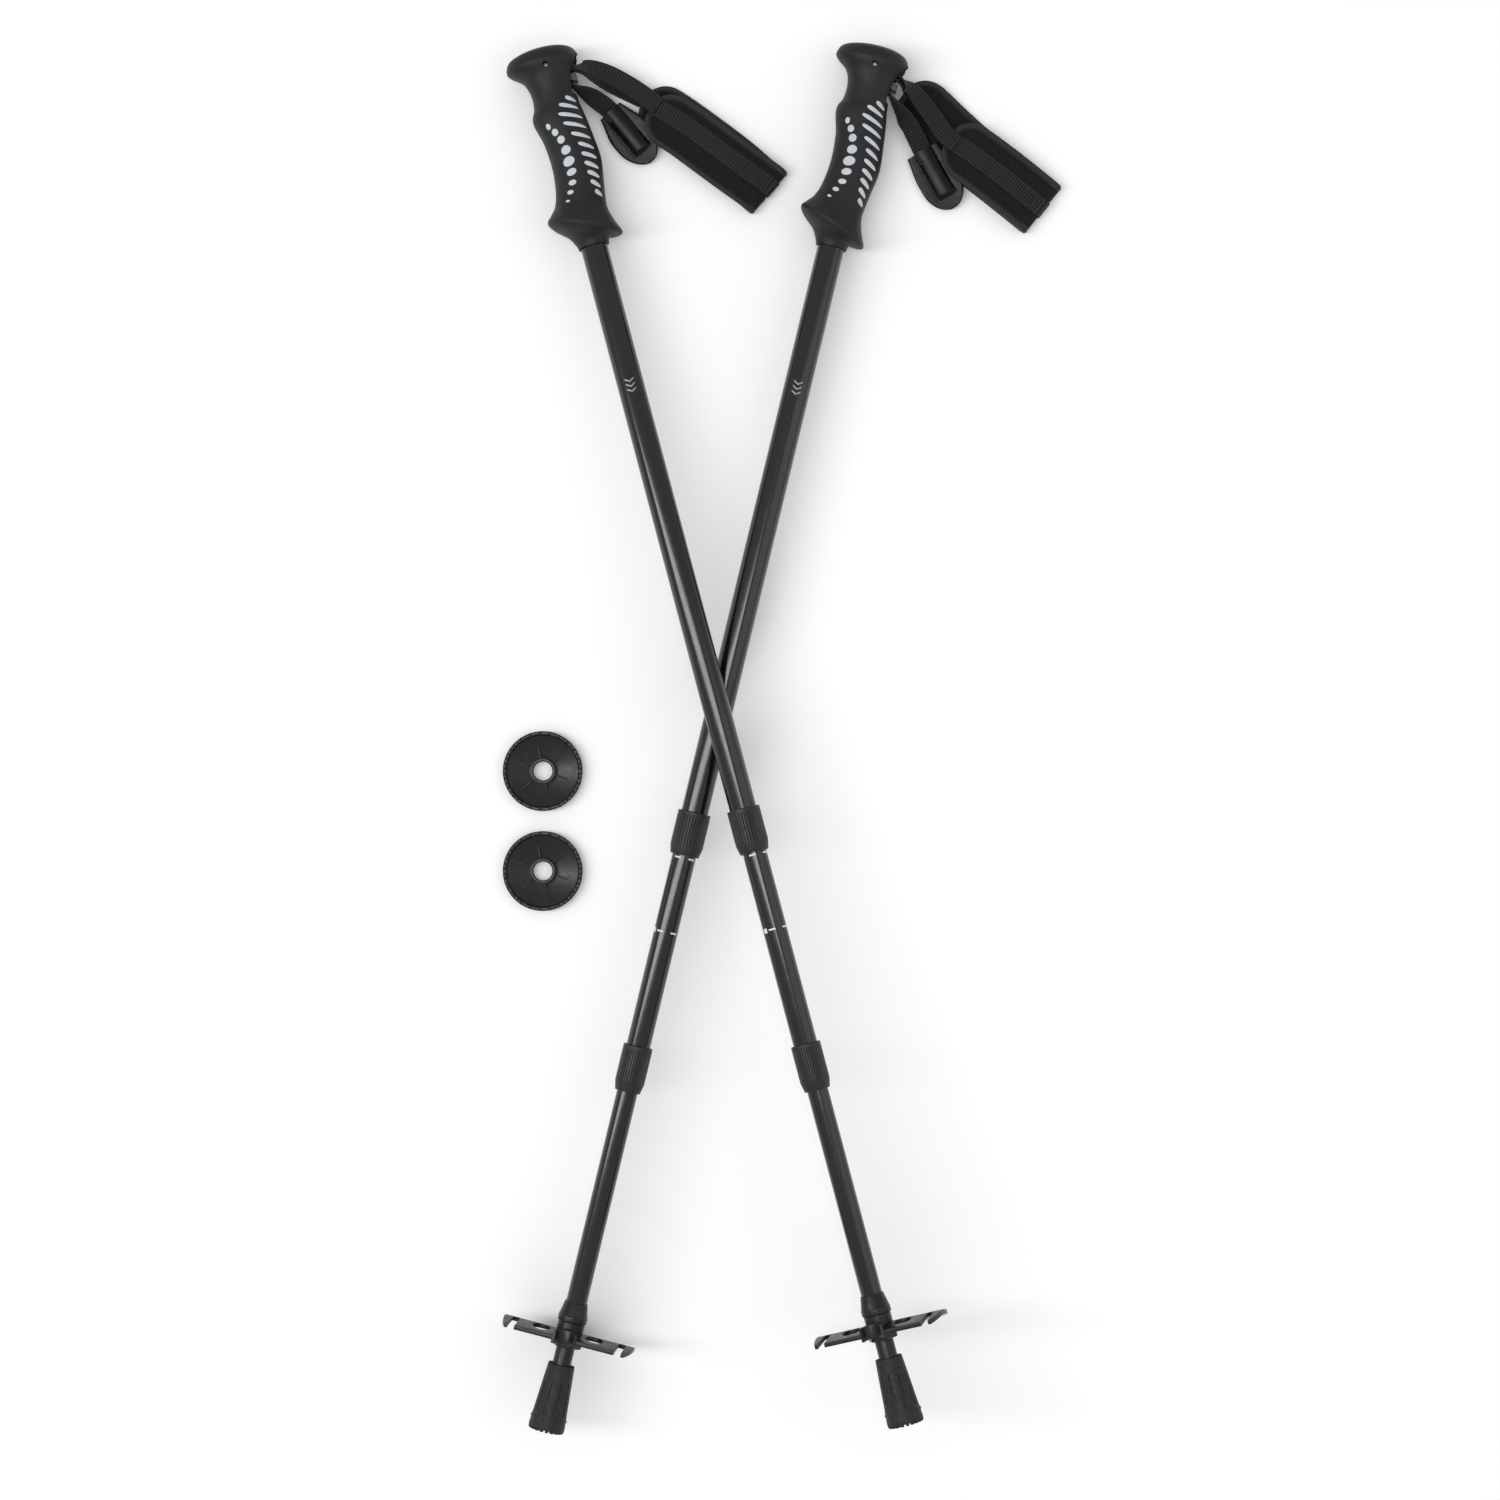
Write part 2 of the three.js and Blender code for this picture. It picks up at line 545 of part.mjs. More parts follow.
// The wrist pad: a padded band folded on itself. Its spine runs from the lower layer's end to the
// fold, turns over in a half circle and comes back along the top layer. Both ends are rounded.
function wristPad({ underLayer, topLayer, padHalfWidth }) {
  const under = new THREE.CatmullRomCurve3(underLayer.map((point) => new THREE.Vector3(...point)));
  const over = new THREE.CatmullRomCurve3(topLayer.map((point) => new THREE.Vector3(...point)));
  const foldFrom = under.getPoint(1);
  const foldTo = over.getPoint(0);
  const heading = under.getTangent(1).setZ(0).normalize();
  const stations = [];
  const { layerSteps, foldSteps } = PAD;
  for (let step = 0; step <= layerSteps; step += 1) {
    const t = (step / layerSteps) ** 1.5;
    stations.push({ centre: under.getPoint(t), tangent: under.getTangent(t), end: t * under.getLength() });
  }
  for (let step = 1; step < foldSteps; step += 1) {
    const angle = (Math.PI * step) / foldSteps;
    const radius = (foldTo.z - foldFrom.z) / 2;
    const centre = foldFrom.clone().lerp(foldTo, 0.5);
    centre.addScaledVector(heading, radius * Math.sin(angle));
    centre.z -= radius * Math.cos(angle);
    const tangent = heading.clone().multiplyScalar(Math.cos(angle));
    tangent.z = Math.sin(angle);
    stations.push({ centre, tangent, end: 1000 });
  }
  for (let step = 0; step <= layerSteps; step += 1) {
    const t = 1 - (1 - step / layerSteps) ** 1.5;
    const end = (1 - t) * over.getLength();
    stations.push({ centre: over.getPoint(t), tangent: over.getTangent(t), end });
  }
  const foldStart = layerSteps + 1;
  const foldEnd = layerSteps + foldSteps;
  const rings = stations.map(({ centre, tangent, end }, count) => {
    const plan = tangent.clone().setZ(0);
    const backwards = count >= foldEnd || (count >= foldStart && plan.dot(heading) < 0);
    if (count >= foldStart && count < foldEnd) plan.copy(heading);
    else if (backwards) plan.negate();
    plan.normalize();
    const across = new THREE.Vector3(-plan.y, plan.x, 0);
    const through = new THREE.Vector3().crossVectors(across, tangent).normalize();
    const rounding = Math.min(end / padHalfWidth, 1);
    const half = padHalfWidth * Math.sqrt(1 - 0.86 * (1 - rounding) ** 2);
    const point = (w, h) => centre.clone()
      .addScaledVector(across, w)
      .addScaledVector(through, (h * PAD.thickness) / 2);
    const inner = half - PAD.edge;
    return [
      point(-inner, -1), point(inner, -1), point(half, 0),
      point(inner, 1), point(-inner, 1), point(-half, 0),
    ];
  });
  return loft(rings);
}

// Pull tab on the strap's tail: a thin board with a raised tunnel along its middle, its far end round.
function pullTab({ neck }) {
  const { length, halfWidth, board, tunnelHalfWidth, tunnelHeight } = TAB;
  const rings = [0, 0.06, 0.35, 0.6, 0.74, 0.86, 0.95, 1].map((t) => {
    const shoulder = neck + (1 - neck) * THREE.MathUtils.smoothstep(t, -0.1, 0.35);
    const tail = Math.sqrt(1 - Math.max(0, (t - 0.6) / 0.4) ** 2 * 0.93);
    const half = halfWidth * shoulder * tail;
    const tunnel = Math.min(tunnelHalfWidth, half * 0.7);
    const rise = t < 0.9 ? tunnelHeight : 0.4;
    const y = -t * length;
    return [
      new THREE.Vector3(-half, y, -board / 2),
      new THREE.Vector3(half, y, -board / 2),
      new THREE.Vector3(half, y, board / 2),
      new THREE.Vector3(tunnel, y, board / 2 + 0.1),
      new THREE.Vector3(tunnel * 0.6, y, board / 2 + rise),
      new THREE.Vector3(-tunnel * 0.6, y, board / 2 + rise),
      new THREE.Vector3(-tunnel, y, board / 2 + 0.1),
      new THREE.Vector3(-half, y, board / 2),
    ];
  });
  return loft(rings);
}

function strapWedge() {
  const outline = new THREE.Shape(WEDGE.outline.map(([x, y]) => new THREE.Vector2(x, y)));
  const block = new THREE.ExtrudeGeometry(outline, { depth: WEDGE.height, bevelEnabled: false });
  return block.translate(0, 0, POMMEL_HALF_DEPTH + 0.2 - WEDGE.height / 2);
}

function wristStrap(suffix, strap) {
  const group = new THREE.Group();
  const tab = piece(`strap_tab_${suffix}`, pullTab(strap.tab), 0x17171a, 0.28, 0);
  tab.position.set(...strap.tab.mouth);
  tab.rotation.order = 'ZYX';
  tab.rotation.z = Math.atan2(strap.tab.heading[1], strap.tab.heading[0]) + Math.PI / 2;
  tab.rotation.y = -radians(strap.tab.tilt);
  group.add(
    piece(`strap_webbing_${suffix}`, webbingStrip(strap.webbing, WEBBING_STEPS.long), 0x1c1c1f, 0.75, 0),
    piece(`strap_return_${suffix}`, webbingStrip(strap.returning, WEBBING_STEPS.short), 0x1c1c1f, 0.75, 0),
    piece(`strap_pad_${suffix}`, wristPad(strap), 0x161618, 0.9, 0),
    piece(`strap_wedge_${suffix}`, strapWedge(), 0x3a3a3e, 0.5, 0),
    tab,
  );
  return group;
}

// ---------------------------------------------------------------- assembly

function lyingTilt(pole) {
  const rimStation = BASKET.face + BASKET.radius * Math.tan(radians(BASKET.lean));
  const basketRise = (BASKET.radius - POMMEL_HALF_DEPTH) / (rimStation - POMMEL_STATION);
  if (pole === POLE_B) return Math.atan(basketRise);
  const axisBelow = POMMEL_HALF_DEPTH + basketRise * (CROSSING_STATION - POMMEL_STATION);
  const axisHere = axisBelow + 2 * UPPER_TUBE.radius + 2 * GAP;
  return Math.atan((axisHere - POMMEL_HALF_DEPTH) / (CROSSING_STATION - POMMEL_STATION));
}

function upperSection(suffix) {
  return [
    piece(`grip_shell_${suffix}`, gripShell(), 0x2a2b2e, 0.6, 0),
    piece(`grip_core_${suffix}`, gripCore(), 0x1b1b1d, 0.5, 0),
    piece(`strap_pin_${suffix}`, strapPin(), 0x9a9da0, 0.35, 1),
    piece(`upper_tube_${suffix}`, tube(UPPER_TUBE), 0x0f0f11, 0.2, 0.6),
    piece(`upper_lock_sleeve_${suffix}`, lockSleeve(UPPER_TUBE, MIDDLE_TUBE, UPPER_SLEEVE), 0x141416, 0.7, 0),
  ];
}

function twistLock(name, suffix, outerTube, innerTube, rod) {
  return [
    piece(`${name}_expander_${suffix}`, lockExpander(outerTube, innerTube, rod), 0xd8d8d4, 0.45, 0),
    piece(`${name}_cone_${suffix}`, lockCone(outerTube, innerTube, rod), 0xb04028, 0.45, 0),
    piece(`${name}_screw_${suffix}`, lockScrew(innerTube, rod), 0xa8aaac, 0.35, 1),
  ];
}

function middleSection(suffix) {
  return [
    ...twistLock('middle', suffix, UPPER_TUBE, MIDDLE_TUBE, LOCK_ROD.middle),
    piece(`middle_tube_${suffix}`, tube(MIDDLE_TUBE), 0x0f0f11, 0.2, 0.6),
    piece(`lower_lock_sleeve_${suffix}`, lockSleeve(MIDDLE_TUBE, LOWER_TUBE, LOWER_SLEEVE), 0x141416, 0.7, 0),
  ];
}

function lowerSection(suffix, basketTurn) {
  const turnedBasket = piece(`basket_${suffix}`, basket(), 0x1a1b1e, 0.45, 0);
  turnedBasket.rotation.y = -radians(basketTurn);
  return [
    ...twistLock('lower', suffix, MIDDLE_TUBE, LOWER_TUBE, LOCK_ROD.lower),
    piece(`lower_tube_${suffix}`, tube(LOWER_TUBE), 0x0f0f11, 0.2, 0.6),
    piece(`tip_holder_${suffix}`, tipHolder(), 0x1a1b1e, 0.45, 0),
    piece(`carbide_tip_${suffix}`, carbideTip(), 0x8d9196, 0.3, 1),
    piece(`rubber_tip_${suffix}`, rubberTip(), 0x2b2b2e, 0.75, 0),
    turnedBasket,
  ];
}

function polePlace(pole) {
  const tilt = lyingTilt(pole);
  const place = new THREE.Group();
  place.rotation.order = 'ZYX';
  place.rotation.z = radians(pole.turn);
  place.rotation.x = -tilt;
  place.position.set(pole.x, pole.y, POMMEL_HALF_DEPTH - POMMEL_STATION * Math.tan(tilt));
  return place;
}

function wholePole(pole, strap) {
  const shaft = polePlace(pole);
  const lower = new THREE.Group();
  lower.position.y = pole.pushedIn;
  lower.add(...lowerSection(pole.suffix, pole.basketTurn));
  shaft.add(...upperSection(pole.suffix), ...middleSection(pole.suffix), lower);
  shaft.updateMatrixWorld(true);
  const pin = new THREE.Vector3(0, -PIN.station, 0).applyMatrix4(shaft.matrixWorld);
  const laidStrap = wristStrap(pole.suffix, strap);
  laidStrap.position.set(pin.x, pin.y, 0);
  laidStrap.rotation.z = radians(pole.turn);
  return new THREE.Group().add(shaft, laidStrap);
}

const trekkingSet = new THREE.Group();
trekkingSet.add(wholePole(POLE_A, STRAP_A), wholePole(POLE_B, STRAP_B));
SPARE_CENTRES.forEach(([x, y], count) => {
  const spare = piece(`spare_basket_${count + 1}`, spareBasket(), 0x1a1b1e, 0.5, 0);
  spare.rotation.x = Math.PI / 2;
  spare.position.set(x, y, SPARE.height);
  trekkingSet.add(spare);
});

export default trekkingSet;
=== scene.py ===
import json
import math

import bmesh
import bpy
import numpy as np
from mathutils import Matrix, Vector


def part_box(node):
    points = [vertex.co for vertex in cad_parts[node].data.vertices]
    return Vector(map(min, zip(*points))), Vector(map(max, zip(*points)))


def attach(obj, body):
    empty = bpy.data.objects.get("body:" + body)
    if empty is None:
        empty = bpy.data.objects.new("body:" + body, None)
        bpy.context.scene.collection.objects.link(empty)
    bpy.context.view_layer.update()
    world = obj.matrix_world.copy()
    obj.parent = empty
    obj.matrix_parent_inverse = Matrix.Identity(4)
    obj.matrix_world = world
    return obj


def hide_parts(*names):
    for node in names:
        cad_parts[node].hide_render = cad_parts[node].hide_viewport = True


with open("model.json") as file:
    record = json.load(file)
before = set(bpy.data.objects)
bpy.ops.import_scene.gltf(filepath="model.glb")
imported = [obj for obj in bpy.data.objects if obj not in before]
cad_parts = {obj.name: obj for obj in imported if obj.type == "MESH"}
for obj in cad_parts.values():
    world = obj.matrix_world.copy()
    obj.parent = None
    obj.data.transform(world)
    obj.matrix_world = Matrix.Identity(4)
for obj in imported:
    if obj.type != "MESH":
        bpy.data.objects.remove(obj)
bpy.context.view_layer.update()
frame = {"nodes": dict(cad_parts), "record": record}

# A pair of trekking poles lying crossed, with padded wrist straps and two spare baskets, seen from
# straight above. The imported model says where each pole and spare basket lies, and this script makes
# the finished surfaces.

MM = 0.001
UP = Vector((0, 0, 1))
JOINTS = {joint["name"]: joint for joint in frame["record"]["behaviour"]["joints"]}

# Distances along a shaft are "stations": millimetres down from the top of the grip.
TWIST_STATION = 300
LOWER_SLIDE_IN = 0.122
BASKET_TURN = {"a": 20, "b": 7}


# ------------------------------------------------------------------ frames

def shaft_matrix(suffix):
    """Millimetres in the pole's own frame to metres: X across, Y up the shaft, Z off the ground."""
    joint = JOINTS[f"middle_twist_{suffix}"]
    tip = Vector(joint["axis"]).normalized()
    along = -tip
    across = along.cross(UP).normalized()
    off_ground = across.cross(along)
    matrix = Matrix((across, along, off_ground)).transposed().to_4x4()
    matrix.translation = Vector(joint["pos_m"]) - tip * TWIST_STATION * MM
    return matrix @ Matrix.Scale(MM, 4)


def lower_matrix(suffix):
    """The shaft's frame moved up by how far the lower section is pushed in at rest."""
    pushed_in = (LOWER_SLIDE_IN + JOINTS[f"lower_slide_{suffix}"]["range_m"][0]) / MM
    return shaft_matrix(suffix) @ Matrix.Translation((0, pushed_in, 0))


def strap_matrix(suffix):
    """Millimetres on the ground plan: the strap pin at the origin, Y up the shaft, Z above ground."""
    pin = JOINTS[f"strap_swing_{suffix}"]["pos_m"]
    tip = Vector(JOINTS[f"middle_twist_{suffix}"]["axis"])
    turn = Matrix.Rotation(math.atan2(tip.x, -tip.y), 4, "Z")
    return Matrix.Translation((pin[0], pin[1], 0)) @ turn @ Matrix.Scale(MM, 4)


# ------------------------------------------------------------------ mesh helpers

def build(name, shape, matrix, finish, body, angle=38, replaces=None, second=None, is_second=()):
    """A smooth-shaded piece from (vertices in millimetres, faces), riding on a body and standing for
    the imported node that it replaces. Faces marked in is_second take the second finish."""
    vertices, faces = shape
    mesh = bpy.data.meshes.new(name)
    mesh.from_pydata([matrix @ Vector(vertex) for vertex in vertices], [], faces)
    mesh.materials.append(FINISH[finish].material)
    if second:
        mesh.materials.append(FINISH[second].material)
        for polygon, marked in zip(mesh.polygons, is_second):
            polygon.material_index = int(marked)
    clean(mesh)
    shade(mesh, angle)
    piece = bpy.data.objects.new(name, mesh)
    bpy.context.scene.collection.objects.link(piece)
    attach(piece, body)
    if replaces:
        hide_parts(replaces)
    return piece


def clean(mesh):
    """Welds doubled points, drops faces without area and turns every face outwards."""
    work = bmesh.new()
    work.from_mesh(mesh)
    bmesh.ops.remove_doubles(work, verts=work.verts, dist=2e-7)
    bmesh.ops.dissolve_degenerate(work, edges=work.edges, dist=1e-8)
    bmesh.ops.recalc_face_normals(work, faces=work.faces)
    work.to_mesh(mesh)
    work.free()


def shade(mesh, angle):
    mesh.shade_smooth()
    mesh.set_sharp_from_angle(angle=math.radians(angle))


def bake_modifiers(piece, angle=38):
    """Applies the piece's modifiers to its mesh."""
    graph = bpy.context.evaluated_depsgraph_get()
    mesh = bpy.data.meshes.new_from_object(piece.evaluated_get(graph))
    piece.modifiers.clear()
    piece.data = mesh
    shade(mesh, angle)


def merge(*shapes):
    """Several shapes as one."""
    vertices, faces = [], []
    for more_vertices, more_faces in shapes:
        first = len(vertices)
        vertices.extend(more_vertices)
        faces.extend([tuple(first + index for index in face) for face in more_faces])
    return vertices, faces


def moved(shape, matrix):
    vertices, faces = shape
    return [tuple(matrix @ Vector(vertex)) for vertex in vertices], faces


def skin(rings, closed_along=False):
    """Quads between rings of equal size, each a closed loop, with the ends capped."""
    sides = len(rings[0])
    vertices = [tuple(point) for ring in rings for point in ring]
    faces = []
    spans = len(rings) if closed_along else len(rings) - 1
    for ring in range(spans):
        above = ring * sides
        below = ((ring + 1) % len(rings)) * sides
        for side in range(sides):
            following = (side + 1) % sides
            faces.append((above + side, above + following, below + following, below + side))
    if not closed_along:
        faces.append(tuple(range(sides)))
        faces.append(tuple(range((len(rings) - 1) * sides, len(rings) * sides)))
    return vertices, faces


def fillet(outline, radius, steps=4, closed=True):
    """An outline of (radius, station) points with its corners rounded."""
    points = [Vector(point) for point in outline]
    rounded = []
    for index, corner in enumerate(points):
        at_end = index in (0, len(points) - 1)
        if at_end and not closed:
            rounded.append(tuple(corner))
            continue
        before = points[index - 1] - corner
        after = points[(index + 1) % len(points)] - corner
        reach = min(radius, before.length * 0.45, after.length * 0.45)
        start = corner + before.normalized() * reach
        end = corner + after.normalized() * reach
        for step in range(steps + 1):
            t = step / steps
            point = start * (1 - t) ** 2 + corner * 2 * t * (1 - t) + end * t * t
            rounded.append(tuple(point))
    return rounded


def revolve(outline, sides=96, closed=True, warp=None):
    """Turns an outline of (radius, station) about the shaft. An open one starts and ends on the axis."""
    rings = []
    for radius, station in outline:
        ring = []
        for side in range(sides):
            angle = 2 * math.pi * side / sides
            r, s = warp(angle, radius, station) if warp else (radius, station)
            ring.append((r * math.sin(angle), -s, r * math.cos(angle)))
        rings.append(ring)
    vertices, faces = skin(rings, closed_along=True)
    if not closed:
        faces = faces[: (len(rings) - 1) * sides]
    return vertices, faces


def catmull(values, t):
    """Smooth value at t from 0 to 1 along a list of equal-length rows of numbers."""
    place = min(max(t, 0), 1) * (len(values) - 1)
    index = min(int(place), len(values) - 2)
    f = place - index
    rows = [values[min(max(index + shift, 0), len(values) - 1)] for shift in (-1, 0, 1, 2)]
    return [
        0.5 * (2 * b + (c - a) * f + (2 * a - 5 * b + 4 * c - d) * f**2 + (3 * b - a - 3 * c + d) * f**3)
        for a, b, c, d in zip(*rows)
    ]


def smooth(edge0, edge1, value):
    t = min(max((value - edge0) / (edge1 - edge0), 0), 1)
    return t * t * (3 - 2 * t)


def carve(piece, *cutters, angle=38):
    """Cuts closed helper shapes, already in place in metres, out of a piece."""
    helpers = []
    for number, (vertices, faces) in enumerate(cutters):
        mesh = bpy.data.meshes.new(f"cutter_{number}")
        mesh.from_pydata(vertices, [], faces)
        clean(mesh)
        helper = bpy.data.objects.new(mesh.name, mesh)
        bpy.context.scene.collection.objects.link(helper)
        modifier = piece.modifiers.new("cut", "BOOLEAN")
        modifier.operation = "DIFFERENCE"
        modifier.solver = "EXACT"
        modifier.object = helper
        helpers.append(helper)
    bpy.context.view_layer.update()
    bake_modifiers(piece, angle)
    for helper in helpers:
        bpy.data.objects.remove(helper, do_unlink=True)


# ------------------------------------------------------------------ materials

class Finish:
    """A principled material: colour and gloss that vary from place to place, and layers of relief."""

    def __init__(self, name, colour, other, roughness, spread, patches, gloss, specular=0.5, metallic=0.0):
        """Patches and gloss are (size in millimetres, detail) of the noise in colour and roughness."""
        self.material = bpy.data.materials.new(name)
        self.material.use_nodes = True
        self.nodes = self.material.node_tree.nodes
        self.links = self.material.node_tree.links
        self.shader = self.nodes["Principled BSDF"]
        self.place = self.nodes.new("ShaderNodeTexCoord").outputs["Object"]
        self.relief = None
        self.set(Metallic=metallic, Specular_IOR_Level=specular)
        mix = self.nodes.new("ShaderNodeMix")
        mix.data_type = "RGBA"
        mix.inputs["A"].default_value = (*colour, 1)
        mix.inputs["B"].default_value = (*other, 1)
        self.links.new(self.ramp(self.noise(*patches), 0, 1), mix.inputs["Factor"])
        self.links.new(mix.outputs["Result"], self.shader.inputs["Base Color"])
        rough = self.ramp(self.noise(*gloss), roughness - spread, roughness + spread)
        self.links.new(rough, self.shader.inputs["Roughness"])

    def texture(self, kind, size_mm, output):
        texture = self.nodes.new(kind)
        texture.inputs["Scale"].default_value = 1 / (size_mm * MM)
        self.links.new(self.place, texture.inputs["Vector"])
        return texture, texture.outputs[output]

    def noise(self, size_mm, detail):
        texture, value = self.texture("ShaderNodeTexNoise", size_mm, "Fac")
        texture.inputs["Detail"].default_value = detail
        return value

    def ramp(self, source, low, high):
        """Stretches the middle of a noise's range over low to high."""
        scale = self.nodes.new("ShaderNodeMapRange")
        scale.inputs["From Min"].default_value = 0.3
        scale.inputs["From Max"].default_value = 0.7
        scale.inputs["To Min"].default_value = low
        scale.inputs["To Max"].default_value = high
        self.links.new(source, scale.inputs["Value"])
        return scale.outputs["Result"]

    def bump(self, source, depth_mm, strength):
        """Adds a layer of relief on top of those before."""
        bump = self.nodes.new("ShaderNodeBump")
        bump.inputs["Distance"].default_value = depth_mm * MM
        bump.inputs["Strength"].default_value = strength
        self.links.new(source, bump.inputs["Height"])
        if self.relief:
            self.links.new(self.relief, bump.inputs["Normal"])
        self.relief = bump.outputs["Normal"]
        self.links.new(self.relief, self.shader.inputs["Normal"])
        return self

    def grain(self, size_mm, detail, depth_mm, strength):
        """Relief of soft noise."""
        return self.bump(self.noise(size_mm, detail), depth_mm, strength)

    def cells(self, size_mm, depth_mm, strength):
        """Relief of round cells, as in a knit, a weave or leathery rubber."""
        return self.bump(self.texture("ShaderNodeTexVoronoi", size_mm, "Distance")[1], depth_mm, strength)

    def set(self, **values):
        for name, value in values.items():
            self.shader.inputs[name.replace("_", " ")].default_value = value
        return self


def times(factor, colour):
    return tuple(factor * part for part in colour)


def woven_webbing(name, colour):
    finish = Finish(name, colour, times(1.7, colour), 0.75, 0.08, (0.5, 3), (1.5, 3), 0.3)
    finish.cells(0.42, 0.08, 0.7).grain(0.3, 2, 0.04, 0.5)
    return finish.set(Sheen_Weight=0.03, Sheen_Roughness=0.5)


def pad_knit():
    finish = Finish("pad_knit", (0.005, 0.005, 0.0056), (0.0082, 0.0082, 0.009), 0.9, 0.06,
                    (2.2, 4), (2, 3), 0.22)
    finish.cells(0.7, 0.12, 0.8).grain(2.5, 3, 0.12, 0.5)
    return finish.set(Sheen_Weight=0.02, Sheen_Roughness=0.6)


def rim_binding():
    finish = Finish("rim_binding", (0.0112, 0.0112, 0.0122), (0.016, 0.016, 0.0172), 0.66, 0.07,
                    (1.6, 4), (2, 3), 0.34)
    finish.cells(0.5, 0.07, 0.7).grain(4, 3, 0.15, 0.5)
    return finish.set(Sheen_Weight=0.03, Sheen_Roughness=0.5)


def moulded_black(name, colour, roughness):
    finish = Finish(name, colour, times(1.35, colour), roughness, 0.06, (7, 4), (4, 5), 0.33)
    return finish.grain(9, 2, 0.08, 0.3).grain(0.4, 2, 0.012, 0.5)


def bare_metal(name, colour, roughness):
    finish = Finish(name, colour, times(0.75, colour), roughness, 0.07, (2, 4), (1, 4), metallic=1.0)
    return finish.grain(0.2, 2, 0.006, 0.5)


def moulded_nylon(name, colour, other):
    finish = Finish(name, colour, other, 0.42, 0.06, (5, 3), (3, 3))
    return finish.set(Subsurface_Weight=0.08).grain(0.5, 2, 0.01, 0.5)


FINISH = {
    "grip": Finish("grip_rubber", (0.0088, 0.0094, 0.0108), (0.0112, 0.012, 0.0136), 0.5, 0.06,
                   (9, 4), (5, 5), 0.28).grain(0.45, 2, 0.02, 0.5).cells(0.8, 0.012, 0.4),
    "inlay": Finish("inlay_rubber", (0.55, 0.57, 0.585), (0.49, 0.51, 0.525), 0.55, 0.06,
                    (3, 4), (4, 4), 0.3).grain(0.5, 2, 0.015, 0.4),
    "tube": Finish("tube_lacquer", (0.0042, 0.0044, 0.0052), (0.0058, 0.006, 0.007), 0.17, 0.03,
                   (30, 3), (6, 6), 0.42).grain(0.9, 3, 0.002, 0.2).set(Coat_Weight=0.2, Coat_Roughness=0.1),
    "lock": Finish("lock_plastic", (0.009, 0.0094, 0.0105), (0.0125, 0.0128, 0.014), 0.42, 0.07,
                   (4, 4), (3, 4), 0.36).grain(0.35, 2, 0.015, 0.5),
    "webbing": woven_webbing("woven_webbing", (0.0125, 0.0125, 0.0132)),
    # A darker copy of the webbing for the faces between its ribs: painted shade in the grooves.
    "painted_shade_between_ribs": woven_webbing("webbing_painted_shade_between_ribs", (0.0022, 0.0022, 0.0024)),
    "knit": pad_knit(),
    "rim": rim_binding(),
    "thread": Finish("sewing_thread", (0.015, 0.015, 0.0165), (0.023, 0.023, 0.025), 0.6, 0.08,
                     (0.6, 2), (0.6, 2), 0.35).grain(0.15, 2, 0.02, 0.6),
    "vinyl": Finish("tab_vinyl", (0.0022, 0.0022, 0.0025), (0.0032, 0.0032, 0.0036), 0.3, 0.05,
                    (12, 3), (5, 4), 0.2).grain(9, 1, 0.06, 0.4).grain(0.5, 2, 0.01, 0.4),
    "wedge": moulded_black("wedge_plastic", (0.045, 0.046, 0.05), 0.45),
    "holder": moulded_black("holder_plastic", (0.0062, 0.0064, 0.0075), 0.34),
    "basket": moulded_black("basket_plastic", (0.0066, 0.0068, 0.008), 0.32),
    "tip": Finish("tip_rubber", (0.0105, 0.0107, 0.0118), (0.0165, 0.0167, 0.0178), 0.56, 0.09,
                  (3, 5), (2.5, 4), 0.3).grain(0.5, 3, 0.05, 0.6).grain(6, 2, 0.1, 0.3),
    "steel": bare_metal("pin_steel", (0.5, 0.51, 0.53), 0.32),
    "carbide": bare_metal("carbide", (0.33, 0.34, 0.36), 0.38),
    "screw": bare_metal("screw_aluminium", (0.62, 0.63, 0.65), 0.34),
    "expander": moulded_nylon("expander_nylon", (0.66, 0.66, 0.61), (0.56, 0.56, 0.51)),
    "cone": moulded_nylon("cone_nylon", (0.4, 0.055, 0.03), (0.31, 0.04, 0.024)),
    "core": moulded_black("core_plastic", (0.012, 0.012, 0.013), 0.45),
    "scale": Finish("scale_paint", (0.74, 0.75, 0.76), (0.6, 0.61, 0.62), 0.45, 0.08,
                    (0.8, 4), (1, 3)).grain(0.3, 2, 0.004, 0.5),
    "mark": Finish("mark_paint", (0.3, 0.31, 0.33), (0.22, 0.23, 0.25), 0.35, 0.08,
                   (0.8, 4), (1, 3), metallic=0.4).grain(0.3, 2, 0.003, 0.5),
    "floor": Finish("floor_paper", (0.965, 0.965, 0.965), (0.965, 0.965, 0.965), 0.9, 0.04,
                    (40, 3), (40, 3), 0.1),
}


# ------------------------------------------------------------------ grip

# Station on the axis, reach to the finger side, reach to the back, half depth, and lean.
GRIP_SECTIONS = [
    (-0.2, 1, 1, 1, 0), (0.1, 9, 8, 7, 0), (1.2, 17.5, 15, 13, 0), (4, 24.5, 20, 17, 0),
    (9.5, 27, 22.5, 19, 0), (13, 25, 21.5, 18.4, 0), (19, 18, 17.5, 16, 0), (28, 15, 15, 14.6, 0),
    (38, 15.4, 15, 14.3, 0), (44, 18, 15.8, 14.8, 0), (50, 18, 16.8, 15.2, 0),
    (63, 14.8, 18.4, 15.2, 0), (81, 13.8, 19.8, 15, 0), (98, 15.8, 17.2, 15, 0.05),
    (110, 19, 15.4, 16, 0.2), (118, 23, 17.5, 18, 0.3), (124.4, 26, 21, 20, 0.36),
    (127.6, 23.5, 19.5, 18.5, 0.33), (130.5, 15.5, 15.5, 14.5, 0.2), (134, 11.6, 11.6, 11.3, 0),
    (138, 10.4, 10.4, 10.4, 0),
]
PIN_STATION = 14
PIN_RADIUS = 1.6
PIN_HALF = 13.5
GRIP_STEPS = 7
GRIP_SIDES = 80

